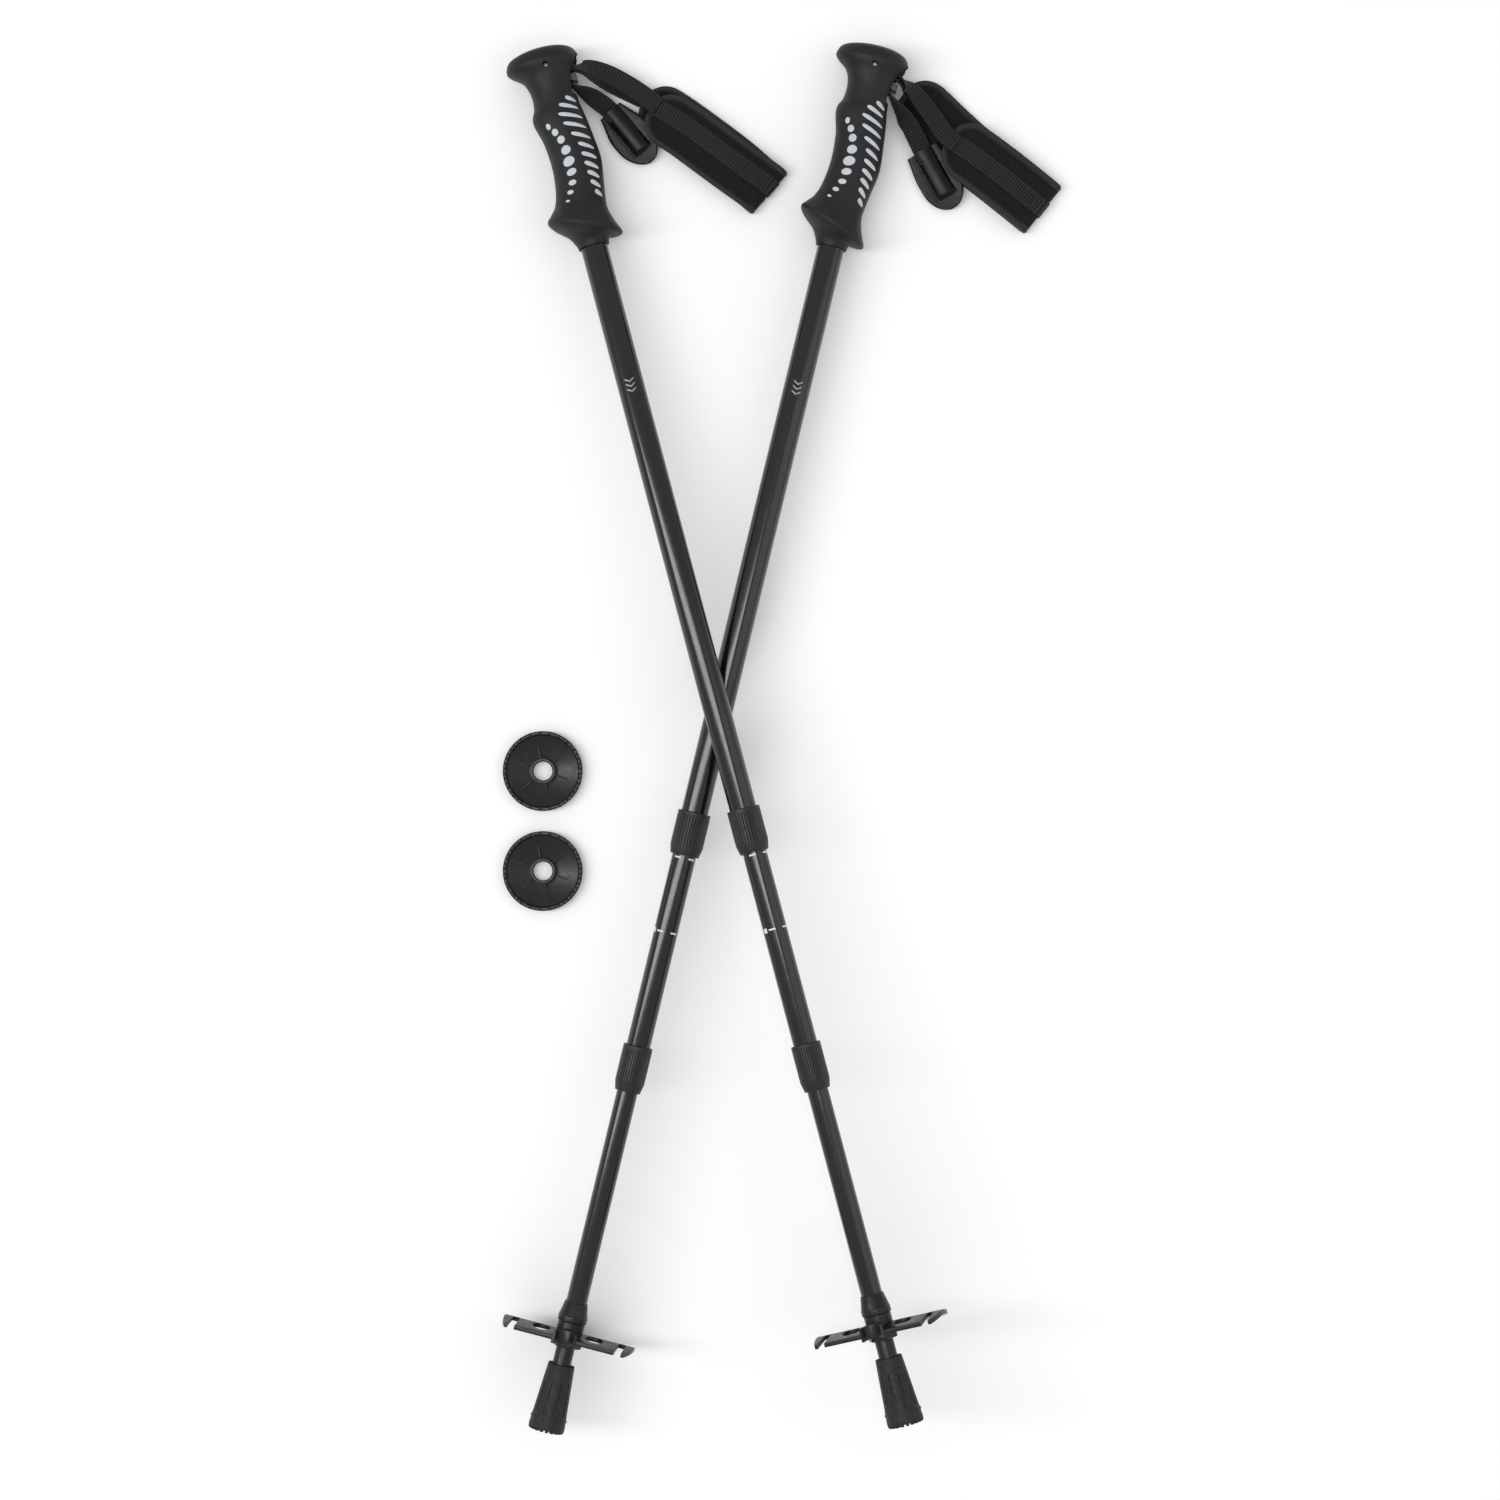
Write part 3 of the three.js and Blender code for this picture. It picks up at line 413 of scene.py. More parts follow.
# Ovals on the side of the grip: place across, station, half length, half width and slope of the long
# axis in degrees. Then slots that run round the back: place across and station of the wide end, and
# of the pointed end.
GRIP_OVALS = [
    (-9.0, 54.8, 2.4, 1.8, -62), (-5.6, 59.8, 2.8, 2.4, -50), (-3.0, 65.7, 3.1, 2.7, -38),
    (-1.6, 73.3, 3.8, 3.1, -24), (-1.7, 81.2, 4.5, 3.5, -14), (-1.7, 88.6, 3.7, 2.6, -8),
    (-2.9, 95.7, 3.0, 2.0, 0), (-5.9, 101.6, 2.5, 1.7, 6), (-9.0, 106.9, 1.7, 1.1, 8),
]
GRIP_SLOTS = [
    (7.4, 37.9, 13.6, 41.4), (2.2, 42.3, 14.0, 46.6), (1.0, 48.6, 15.4, 53.6), (2.6, 55.4, 16.2, 60.8),
    (5.6, 63.2, 17.0, 68.4), (8.2, 70.8, 17.4, 75.6), (8.8, 77.8, 17.4, 82.4), (9.2, 84.4, 16.8, 89.2),
    (9.4, 90.8, 15.8, 95.2), (9.6, 97.4, 14.8, 101.4), (10.6, 104.4, 14.2, 107.2),
]


def grip_section(station):
    """The grip's row of station, front, back, depth and lean for a station on its axis."""
    low, high = 0.0, 1.0
    for _ in range(30):
        middle = (low + high) / 2
        if catmull(GRIP_SECTIONS, middle)[0] < station:
            low = middle
        else:
            high = middle
    return catmull(GRIP_SECTIONS, low)


def grip_shape():
    rings = []
    count = (len(GRIP_SECTIONS) - 1) * GRIP_STEPS
    for step in range(count + 1):
        station, front, back, depth, lean = catmull(GRIP_SECTIONS, step / count)
        ring = []
        for side in range(GRIP_SIDES):
            angle = 2 * math.pi * side / GRIP_SIDES
            x = (back - front) / 2 + (back + front) / 2 * math.cos(angle)
            ring.append((x, -(station + lean * x), depth * math.sin(angle)))
        rings.append(ring)
    return skin(rings)


def on_grip(angle, station, lift):
    """Point on the grip's skin at an angle from its back, lifted along the skin's normal."""
    _, front, back, depth, lean = grip_section(station)
    half = (back + front) / 2
    x = (back - front) / 2 + half * math.cos(angle)
    z = depth * math.sin(angle)
    outward = Vector((math.cos(angle) / half, 0, math.sin(angle) / depth)).normalized()
    return Vector((x, -(station + lean * x), z)) + outward * lift


def grip_angle(across, station):
    """Angle and axis station of the skin point that shows at (across, station) from above."""
    lean = 0
    for _ in range(3):
        _, front, back, depth, lean = grip_section(station - lean * across)
    centre, half = (back - front) / 2, (back + front) / 2
    angle = math.acos(min(max((across - centre) / half, -0.99), 0.995))
    return angle, station - lean * across, math.hypot(half * math.sin(angle), depth * math.cos(angle))


def inlay_patch(centre, half_length, half_width, slope, taper, side, fullness=2.0):
    """A crowned button set into the grip: a closed lens that follows the skin. Fullness 2 is an
    ellipse, and more squares its long sides."""
    angle0, station0, radius = grip_angle(*centre)
    tilt = math.radians(slope)
    count, rounds = 40, 7
    rings = []
    for level in range(rounds + 1):
        share = math.sin(math.pi / 2 * level / rounds)
        lift = 0.3 * (1 - share**6) - 0.12
        ring = []
        for step in range(count):
            turn = 2 * math.pi * step / count
            reach, rise = math.cos(turn), math.sin(turn)
            round_off = (abs(reach) ** fullness + abs(rise) ** fullness) ** (-1 / fullness)
            u = reach * round_off * half_length * share
            narrowing = 1 - taper * (0.5 + 0.5 * reach * round_off * share)
            v = rise * round_off * half_width * share * narrowing
            arc = u * math.cos(tilt) - v * math.sin(tilt)
            down = u * math.sin(tilt) + v * math.cos(tilt)
            point = on_grip(angle0 - arc / radius, station0 + down, lift)
            ring.append((point.x, point.y, side * point.z))
        rings.append(ring)
    sunk = on_grip(angle0, station0, -0.9)
    rings.append([tuple(Vector(point).lerp(Vector((sunk.x, sunk.y, side * sunk.z)), 0.35)) for point in ring])
    return skin(rings)


def grip_inlays():
    patches = []
    for side in (1, -1):
        for across, station, length, width, slope in GRIP_OVALS:
            patches.append(inlay_patch((across, station), length, width, slope, 0, side))
        for x0, s0, x1, s1 in GRIP_SLOTS:
            centre = ((x0 + x1) / 2, (s0 + s1) / 2)
            start, _, radius = grip_angle(x0, s0)
            end = grip_angle(x1, s1)[0]
            arc = (start - end) * radius
            slope = math.degrees(math.atan2(s1 - s0, arc))
            half_length = math.hypot(arc, s1 - s0) / 2
            patches.append(inlay_patch(centre, half_length + 0.3, 1.9, slope, 0.45, side, 2.7))
    return merge(*patches)


def round_bar(radius, start, end, sides=48):
    """A plain round bar from one point to another, for cutters and pins."""
    axis = Vector(end) - Vector(start)
    turn = axis.to_track_quat("Z", "Y").to_matrix()
    rings = []
    for place in (Vector(start), Vector(end)):
        ring = [
            tuple(place + turn @ Vector((radius * math.cos(a), radius * math.sin(a), 0)))
            for a in (2 * math.pi * side / sides for side in range(sides))
        ]
        rings.append(ring)
    return skin(rings)


def rounded_box(low, high, radius, steps=4):
    """A box with round edges along X, as the mouth of a moulded slot."""
    corners = [(low[1], low[2]), (high[1], low[2]), (high[1], high[2]), (low[1], high[2])]
    return skin([[(x, y, z) for y, z in fillet(corners, radius, steps)] for x in (low[0], high[0])])


def make_grip(suffix):
    body, shaft = f"upper_{suffix}", shaft_matrix(suffix)
    grip = build(f"grip_{suffix}", grip_shape(), shaft, "grip", body, 50,
                 f"grip_shell_{suffix}")
    strap_slot = rounded_box((-5, -35.6, -7.2), (36, -8.2, 7.2), 3)
    bore = round_bar(9.3, (0, -38, 0), (0, -150, 0), 64)
    pin_hole = round_bar(2.0, (0, -PIN_STATION, -40), (0, -PIN_STATION, 40), 32)
    carve(grip, *(moved(cutter, shaft) for cutter in (strap_slot, bore, pin_hole)), angle=50)
    build(f"grip_inlays_{suffix}", grip_inlays(), shaft, "inlay", body, 60)
    outline = [(0, -PIN_HALF), (PIN_RADIUS, -PIN_HALF), (PIN_RADIUS, PIN_HALF), (0, PIN_HALF)]
    pin = revolve(fillet(outline, 0.35, closed=False), 32, closed=False)
    turn = Matrix.Translation((0, -PIN_STATION, 0)) @ Matrix.Rotation(math.pi / 2, 4, "X")
    build(f"strap_pin_steel_{suffix}", moved(pin, turn), shaft, "steel", body,
          replaces=f"strap_pin_{suffix}")


# ------------------------------------------------------------------ tubes and lock sleeves

UPPER = {"radius": 9, "bore": 8.35, "top": 40, "bottom": 553}
MIDDLE = {"radius": 8, "bore": 7.4, "top": 234, "bottom": 714}
LOWER = {"radius": 7, "bore": 6.4, "top": 425, "bottom": 870}
SLEEVE_RIBS = 34
CHEVRON_STATION = 231
SCALE_STATIONS = (557.6, 608)
FIRST_DASH = {"a": -13, "b": -30}  # degrees from the side that faces up


def tube_shape(tube):
    outline = [
        (tube["radius"], tube["top"]), (tube["radius"], tube["bottom"]),
        (tube["bore"], tube["bottom"]), (tube["bore"], tube["top"]),
    ]
    return revolve(fillet(outline, 0.25, 3))


def sleeve_shape(outer, inner, length, thickness):
    """Ribbed sleeve on a tube's lower end, with a lip that guides the thinner tube."""
    lip, end = 2.6, outer["bottom"] + 2.9
    top, outside, bore = end - length, outer["radius"] + 0.3 + thickness, outer["radius"] + 0.3
    guide = inner["radius"] + 0.35
    rib_top, rib_bottom = top + 1.6, end - 5.2

    def rib(angle, radius, station):
        fade = smooth(rib_top, rib_top + 1.2, station) * (1 - smooth(rib_bottom - 1, rib_bottom, station))
        on_outside = smooth(bore + 0.4, outside - 0.3, radius)
        wave = smooth(0, 0.6, abs(math.sin(angle * SLEEVE_RIBS / 2)))
        return radius - 0.4 * (1 - wave) * fade * on_outside, station

    wall = [(outside, top + (end - 6.5 - top) * step / 14) for step in range(15)]
    outline = [(outside - 1.0, top), *wall, (outside - 1.4, end), (guide, end), (guide, end - lip)]
    outline += [(bore, end - lip), (bore, top)]
    return revolve(fillet(outline, 0.8, 4), 12 * SLEEVE_RIBS, warp=rib)


def on_tube(radius, angle, station):
    """Point on a tube at an angle in radians from the side that faces up."""
    return radius * math.sin(angle), -station, radius * math.cos(angle)


def curved_patch(radius, angle0, angle1, s0, s1, lift=0.05):
    """A thin painted patch on a tube, from one angle to another about the side that faces up."""
    steps = 6
    rings = []
    for step in range(steps + 1):
        angle = math.radians(angle0 + (angle1 - angle0) * step / steps)
        out, low = radius + lift, radius - lift
        rings.append([on_tube(r, angle, s) for r, s in ((out, s0), (out, s1), (low, s1), (low, s0))])
    return skin(rings)


def scale_marks(station, first):
    """Ring of dashes round the middle tube, the first one centred at that angle."""
    dashes = 5
    half = 17
    middles = [first + 360 * n / dashes for n in range(dashes)]
    return [
        curved_patch(MIDDLE["radius"], middle - half, middle + half, station - 0.55, station + 0.55)
        for middle in middles
    ]


def chevron_mark(radius, station):
    """Three plain chevrons, one above the other, painted on the tube."""
    strokes = []
    for count in range(3):
        top = station + 3.4 * count
        for side in (-1, 1):
            rings = []
            for step in range(5):
                t = step / 4
                angle = side * t * 3.0 / radius
                slope = 1.9 * (1 - t)
                corners = ((0.05, 0), (0.05, 1.1), (-0.05, 1.1), (-0.05, 0))
                rings.append([on_tube(radius + out, angle, top + slope + down) for out, down in corners])
            strokes.append(skin(rings))
    return merge(*strokes)


def make_tubes(suffix):
    shaft, lower = shaft_matrix(suffix), lower_matrix(suffix)
    for name, tube, matrix in (("upper", UPPER, shaft), ("middle", MIDDLE, shaft), ("lower", LOWER, lower)):
        build(f"{name}_shaft_{suffix}", tube_shape(tube), matrix, "tube", f"{name}_{suffix}",
              replaces=f"{name}_tube_{suffix}")
    for name, sleeve, body in (
        ("upper", sleeve_shape(UPPER, MIDDLE, 29.5, 1.65), f"upper_{suffix}"),
        ("lower", sleeve_shape(MIDDLE, LOWER, 31, 1.55), f"middle_{suffix}"),
    ):
        build(f"{name}_sleeve_{suffix}", sleeve, shaft, "lock", body,
              replaces=f"{name}_lock_sleeve_{suffix}")
    first = FIRST_DASH[suffix]
    marks = [mark for station in SCALE_STATIONS for mark in scale_marks(station, first)]
    marks.append(curved_patch(MIDDLE["radius"], first - 49, first - 28, 606.4, 609.6))
    build(f"length_scale_{suffix}", merge(*marks), shaft, "scale", f"middle_{suffix}")
    chevrons = chevron_mark(UPPER["radius"], CHEVRON_STATION)
    build(f"tube_chevrons_{suffix}", chevrons, shaft, "mark", f"upper_{suffix}")


# ------------------------------------------------------------------ tip end

SLITS = 10


def holder_shape():
    outline = [
        (7.65, 860), (9.45, 868.6), (9.8, 869.2), (9.8, 873), (5.9, 873), (5.9, 890), (6.15, 890),
        (6.15, 912), (4.6, 926), (2.9, 926), (2.9, 915), (0, 915), (0, 870.3), (7.15, 870.3), (7.15, 860),
    ]
    return revolve(fillet(outline, 0.35, 3))


def rubber_tip_shape():
    """Flared rubber cover: tapered slits down its side, small nubs below them and a notched tread."""
    def wear(angle, radius, station):
        outside = smooth(7.4, 8.2, radius)
        phase = (angle * SLITS / (2 * math.pi)) % 1
        offset = abs(phase - 0.5) * 2 * math.pi * radius / SLITS
        width = 0.5 + 1.5 * smooth(912, 936, station)
        reach = smooth(911, 914, station) * (1 - smooth(933.5, 935.5, station))
        slit = (1 - smooth(width * 0.45, width * 0.75, offset)) * reach * 0.7
        across, down = offset, station - 938.3
        nub = 0.5 * (1 - smooth(0.45, 1.1, math.hypot(across, down)))
        tread_phase = (angle * 2 * SLITS / (2 * math.pi)) % 1
        notch = 1.3 * smooth(0.5, 0.56, tread_phase) * (1 - smooth(0.94, 1.0, tread_phase))
        lifted = station - notch * outside * smooth(944, 945.4, station)
        return radius + outside * (nub - slit), lifted

    side = [(8.85 + 3.25 * t, 902 + 41.5 * t) for t in (step / 54 for step in range(55))]
    outline = [
        *side, (12.0, 945.2), (11.7, 946.5), (8.4, 946.5), (8.0, 945.1), (0, 945.1), (0, 937), (3.4, 937),
        (3.4, 928), (6.45, 928), (6.45, 902),
    ]
    return revolve(fillet(outline, 0.3, 2), 240, warp=wear)


def carbide_shape():
    outline = [(0, 915.3), (2.6, 915.3), (2.6, 929.6), (1.95, 934), (1.3, 933.4), (0, 933)]
    return revolve(fillet(outline, 0.2, 3, closed=False), 48, closed=False)


def make_tip(suffix):
    lower, body = lower_matrix(suffix), f"lower_{suffix}"
    build(f"holder_{suffix}", holder_shape(), lower, "holder", body,
          replaces=f"tip_holder_{suffix}")
    build(f"carbide_point_{suffix}", carbide_shape(), lower, "carbide", body,
          replaces=f"carbide_tip_{suffix}")
    build(f"rubber_cover_{suffix}", rubber_tip_shape(), lower, "tip", f"rubber_tip_{suffix}",
          30, f"rubber_tip_{suffix}")


# ------------------------------------------------------------------ baskets

BASKET_RADIUS = 44.75
BASKET_CHORD = 18
BASKET_FACE = 879.5
BASKET_THICKNESS = 3
BASKET_EDGE = 0.5
BASKET_LEAN = math.radians(9)
BASKET_BEND = 1.5
CLIP_CENTRE = 20
CLIP_RADIUS = 6.4


def arc(centre, radius, start, end, steps):
    """Points on an arc, angles in radians."""
    angles = (start + (end - start) * step / steps for step in range(steps + 1))
    return [(centre[0] + radius * math.cos(a), centre[1] + radius * math.sin(a)) for a in angles]


def basket_outline():
    """The plate face on: a disc cut off along a chord, with a clip notch and two end slots."""
    chord_angle = math.asin(BASKET_CHORD / BASKET_RADIUS)
    slot_inner, slot_outer, slot_bottom = 34.2, 38.8, -3
    slot_middle, slot_half = (slot_inner + slot_outer) / 2, (slot_outer - slot_inner) / 2
    notch_half = math.sqrt(CLIP_RADIUS**2 - (CLIP_CENTRE - BASKET_CHORD) ** 2)
    notch_angle = math.atan2(BASKET_CHORD - CLIP_CENTRE, notch_half)
    outline = arc((0, 0), BASKET_RADIUS, math.pi - chord_angle, 2 * math.pi + chord_angle, 120)
    outline.append((slot_outer, BASKET_CHORD))
    outline += arc((slot_middle, slot_bottom + slot_half), slot_half, 0, -math.pi, 12)
    outline.append((slot_inner, BASKET_CHORD))
    outline += arc((0, CLIP_CENTRE), CLIP_RADIUS, notch_angle, -math.pi - notch_angle, 28)
    outline.append((-slot_inner, BASKET_CHORD))
    outline += arc((-slot_middle, slot_bottom + slot_half), slot_half, 0, -math.pi, 12)
    outline.append((-slot_outer, BASKET_CHORD))
    return outline


def plate_shape(outline, holes, thickness, edge):
    """A flat plate with rounded edges, from 2D outlines, lying across the shaft."""
    curve = bpy.data.curves.new("plate", "CURVE")
    curve.dimensions = "2D"
    curve.fill_mode = "BOTH"
    curve.extrude = thickness / 2 - edge
    curve.bevel_depth = edge
    curve.bevel_resolution = 3
    curve.offset = -edge
    for loop in (outline, *holes):
        spline = curve.splines.new("POLY")
        spline.points.add(len(loop) - 1)
        for point, (x, y) in zip(spline.points, loop):
            point.co = (x, y, 0, 1)
        spline.use_cyclic_u = True
    holder = bpy.data.objects.new("plate", curve)
    bpy.context.scene.collection.objects.link(holder)
    bpy.context.view_layer.update()
    mesh = bpy.data.meshes.new_from_object(holder.evaluated_get(bpy.context.evaluated_depsgraph_get()))
    bpy.data.objects.remove(holder, do_unlink=True)
    vertices = [(vertex.co.x, -vertex.co.z, vertex.co.y) for vertex in mesh.vertices]
    faces = [tuple(polygon.vertices) for polygon in mesh.polygons]
    bpy.data.meshes.remove(mesh)
    return vertices, faces


def hub_shape():
    """Six-sided below the plate, round above it, with the bore right through."""
    hex_radius = 17.8 / 2 / math.cos(math.pi / 6)

    def facet(angle, radius, station):
        if radius < 7.5 or station < 881:
            return min(radius, 9.0) if station < 881 else radius, station
        sector = (angle + math.pi / 6) % (math.pi / 3) - math.pi / 6
        flat = hex_radius * math.cos(math.pi / 6) / math.cos(sector)
        return min(flat, 10.0) * radius / hex_radius, station

    outline = [
        (hex_radius, 873.4), (hex_radius, 880.8), (hex_radius, 881.2), (hex_radius, 889.4),
        (hex_radius - 0.6, 890), (6.3, 890), (6.3, 873.4),
    ]
    return revolve(fillet(outline, 0.3, 2), 120, warp=facet)


def clip_wall_shape():
    """The rim of the clip notch, standing out of both faces of the plate."""
    outer, inner = CLIP_RADIUS + 2, CLIP_RADIUS
    reach = math.acos((CLIP_CENTRE - BASKET_CHORD) / outer)
    rings = []
    for step in range(25):
        angle = -math.pi / 2 + (reach + 0.02) * (2 * step / 24 - 1)
        section = fillet([(inner, 875.5), (outer, 875.5), (outer, 884.5), (inner, 884.5)], 0.5, 3)
        rings.append([(r * math.cos(angle), -s, CLIP_CENTRE + r * math.sin(angle)) for r, s in section])
    return skin(rings)


def bent_down(shape):
    """The shape bent down the shaft on both sides of its middle line, round where it bends."""
    work = bmesh.new()
    points = [work.verts.new(vertex) for vertex in shape[0]]
    for face in shape[1]:
        work.faces.new([points[index] for index in face])
    bmesh.ops.remove_doubles(work, verts=work.verts, dist=1e-4)
    for step in range(-4, 5):
        everything = work.verts[:] + work.edges[:] + work.faces[:]
        line = (0, 0, step * BASKET_BEND / 2)
        bmesh.ops.bisect_plane(work, geom=everything, plane_co=line, plane_no=(0, 0, 1), dist=1e-4)
    for vertex in work.verts:
        vertex.co.y -= math.tan(BASKET_LEAN) * (math.hypot(vertex.co.z, BASKET_BEND) - BASKET_BEND)
    work.verts.index_update()
    vertices = [tuple(vertex.co) for vertex in work.verts]
    faces = [tuple(vertex.index for vertex in face.verts) for face in work.faces]
    work.free()
    return vertices, faces


def make_basket(suffix):
    holes = [arc((side * 18, 6), 6, 0, 2 * math.pi - 0.13, 47) for side in (-1, 1)]
    plate = plate_shape(basket_outline(), holes + [arc((0, 0), 8, 0, 2 * math.pi - 0.2, 31)],
                        BASKET_THICKNESS, BASKET_EDGE)
    middle = BASKET_FACE + BASKET_THICKNESS / 2
    plate = moved(plate, Matrix.Translation((0, -middle, 0)))
    shape = merge(bent_down(plate), bent_down(clip_wall_shape()), hub_shape())
    turn = Matrix.Rotation(-math.radians(BASKET_TURN[suffix]), 4, "Y")
    build(f"trekking_basket_{suffix}", shape, lower_matrix(suffix) @ turn, "basket", f"basket_{suffix}",
          40, f"basket_{suffix}")


SPARE_BUMPS = 24
SPARE_RIBS = 6


def spare_shape():
    """Shallow dish: hub ring, thin ribs to half way, and a raised rim with small bumps."""
    def bumps(angle, radius, up):
        phase = (angle * SPARE_BUMPS / (2 * math.pi)) % 1
        on_rim = smooth(24.1, 24.6, radius) * smooth(7.0, 7.6, up)
        bump = 0.55 * (1 - smooth(0.16, 0.3, abs(phase - 0.5)))
        return radius, up - 0.5 * on_rim + bump * on_rim

    outline = [
        (6.4, 0), (9.1, 0), (9.5, 0.6), (24.8, 4.2), (26.3, 4.6), (26.9, 5.2), (26.9, 7.6), (26.4, 8.2),
        (24.8, 8.2), (24.3, 7.6), (24.0, 6.0), (9.2, 2.3), (8.8, 2.6), (8.8, 5.6), (8.4, 6), (6.9, 6),
        (6.4, 5.6),
    ]
    rings = []
    for radius, up in fillet(outline, 0.3, 3):
        ring = []
        for side in range(240):
            angle = 2 * math.pi * side / 240
            r, z = bumps(angle, radius, up)
            ring.append((r * math.cos(angle), r * math.sin(angle), z))
        rings.append(ring)
    vertices, faces = skin(rings, closed_along=True)
    ribs = []
    for count in range(SPARE_RIBS):
        section = fillet([(-0.5, 0), (0.5, 0), (0.4, 1), (-0.4, 1)], 0.15, 3)
        rib = []
        for step in range(9):
            reach = 8.2 + 9.4 * step / 8
            floor, crest = 1.6 + (reach - 8.2) * 0.22, 5.3 - 0.6 * (step / 8) ** 2
            rib.append([(reach, y, floor + (crest - floor) * h) for y, h in section])
        ribs.append(moved(skin(rib), Matrix.Rotation(2 * math.pi * (count + 0.68) / SPARE_RIBS, 4, "Z")))
    return merge((vertices, faces), *ribs)


def make_spare(number):
    low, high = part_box(f"spare_basket_{number}")
    place = Matrix.Translation(((low[0] + high[0]) / 2, (low[1] + high[1]) / 2, low[2]))
    build(f"spare_dish_{number}", spare_shape(), place @ Matrix.Scale(MM, 4), "basket", f"spare_{number}",
          40, f"spare_basket_{number}")


# ------------------------------------------------------------------ wrist straps

STRAP_WIDTH = 12.5
STRAP_THICKNESS = 1.2
SEWN_THICKNESS = 0.95
WEAVE_PITCH = 2.0

# The straps' routes on the plan of their own pole, in millimetres: across, up the shaft, above the
# ground, and the twist in degrees, 90 on edge and 0 flat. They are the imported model's routes.
STRAPS = {
    "a": {
        "webbing": [
            (36.6, -40, 6.4, 0), (32.8, -32.6, 6.1, 0), (27.5, -26.2, 8.6, 15), (21, -19.6, 15.4, 55),
            (14.2, -14.4, 20.1, 90), (6.8, -8, 19.7, 90), (1.2, -3.2, 19.3, 90), (-2.5, -2, 19.3, 90),
            (-3.2, 0.9, 19.3, 90), (0, 3.3, 19.3, 90), (5.5, 2.4, 19.3, 90), (12, 0.4, 19.3, 90),
            (18, -1.5, 19.8, 82), (23, -3.4, 21.6, 50), (29.8, -6.3, 19.6, 26), (39.2, -12.3, 15.8, 10),
            (48.2, -20.2, 13.6, 3), (56.8, -29.4, 12.8, 0), (66, -41, 12.7, 0),
        ],
        "returning": [
            (7.5, -1.2, 19.3, 90), (13, -3.1, 19.3, 90), (18.5, -5.2, 18.6, 86), (25, -8.8, 14.2, 60),
            (34, -14.2, 8.8, 32), (44, -21, 4.8, 10), (51, -26.4, 3, 2), (57.2, -31.6, 2.6, 0),
        ],
        "under": [(58, -32.4, 2.2), (68, -43.5, 2.2), (80, -57, 2.2), (104, -87, 2.2), (121, -112, 2.4)],
        "over": [(121, -112, 8.1), (101, -88, 8.8), (80, -62, 9.5), (68, -49, 9.8), (60, -40.5, 9.8)],
        "half_width": 18.4,
        "stripe_shift": 3.2,
        "tab": {"mouth": (33.8, -34.2, 4.7), "heading": (0.43, -0.9), "neck": 0.6, "point": 0.5},
    },
    "b": {
        "webbing": [
            (50, -49.2, 6.6, 0), (43.8, -42.6, 6.2, 0), (37, -34.9, 9.2, 15), (28, -26, 14.6, 45),
            (15.4, -15.6, 19.2, 90), (6.8, -8, 19.1, 90), (1.2, -3.2, 19.1, 90), (-2.5, -2, 19.1, 90),
            (-3.2, 0.9, 19.1, 90), (0, 3.3, 19.1, 90), (5.5, 2.3, 19.1, 90), (12, 0, 19.1, 90),
            (20.5, -2.6, 19.1, 82), (28, -7.2, 17.6, 36), (35.6, -12.4, 15.2, 12), (48.5, -23, 13.6, 3),
            (56.5, -30, 13, 0), (66, -34.8, 12.9, 0),
        ],
        "returning": [
            (7.5, -1.3, 19.1, 90), (13, -3, 19.1, 88), (17.6, -4.8, 18.3, 82), (23, -6.7, 14.6, 40),
        ],
        "under": [
            (23.4, -9.2, 9), (32, -13, 6.6), (44, -19, 4), (60, -28, 2.5), (80, -38.5, 2.2),
            (107, -51, 2.2), (129, -61.4, 2.4),
        ],
        "over": [
            (129, -61.4, 8.1), (107.5, -51.3, 8.8), (86.5, -42.2, 9.5), (70, -35.8, 9.8), (59, -32, 9.8),
        ],
        "half_width": 20,
        "stripe_shift": 0.0,
        "tab": {"mouth": (44.3, -43.2, 4.9), "heading": (0.687, -0.727), "neck": 0.8, "point": 0.0},
    },
}
TAB_TILT = 9.6
TAB_LENGTH = 44
TAB_HALF_WIDTH = 14
TAB_SHEET = 0.5
TUNNEL_HALF_WIDTH = 6.6
TUNNEL_HEIGHT = 2.5
TUNNEL_SEAM = 7.2
FOLD_STEPS = 14


def webbing_section(thickness):
    """Cross-section of a strap: flat faces and round selvages."""
    half_width, half = STRAP_WIDTH / 2, thickness / 2
    corners = [Vector(corner) for corner in (
        (-half_width, -half), (half_width, -half), (half_width, half), (-half_width, half),
    )]
    section = []
    for corner, following in zip(corners, corners[1:] + corners[:1]):
        parts = max(1, round((following - corner).length / 2))
        section += [tuple(corner.lerp(following, part / parts)) for part in range(parts)]
    return fillet(section, 0.45, 3)


def build_webbing(name, stations, thickness, matrix, body, replaces=None):
    """Ribbed webbing through stations of (centre, across, through, distance), with shade painted dark between
    its ribs.
    """
    section = webbing_section(thickness)
    rings, crests = [], []
    for centre, across, through, distance in stations:
        crest = abs(math.sin(math.pi * distance / WEAVE_PITCH)) ** 0.6
        crests.append(crest > 0.72)
        ring = []
        for w, h in section:
            inside = 1 - smooth(STRAP_WIDTH / 2 - 1.0, STRAP_WIDTH / 2 - 0.2, abs(w))
            grow = (0.16 - 0.5 * (1 - crest)) * inside * (1 if h > 0 else -1)
            ring.append(centre + across * w + through * (h + grow))
        rings.append(ring)
    # Faces between the ribs take the darker copy of the webbing, which is painted shade; faces on the ribs
    # keep the plain webbing.
    on_rib = [crests[row] and crests[row + 1] for row in range(len(rings) - 1) for _ in section]
    return build(name, skin(rings), matrix, "painted_shade_between_ribs", body, 60, replaces, "webbing", on_rib)


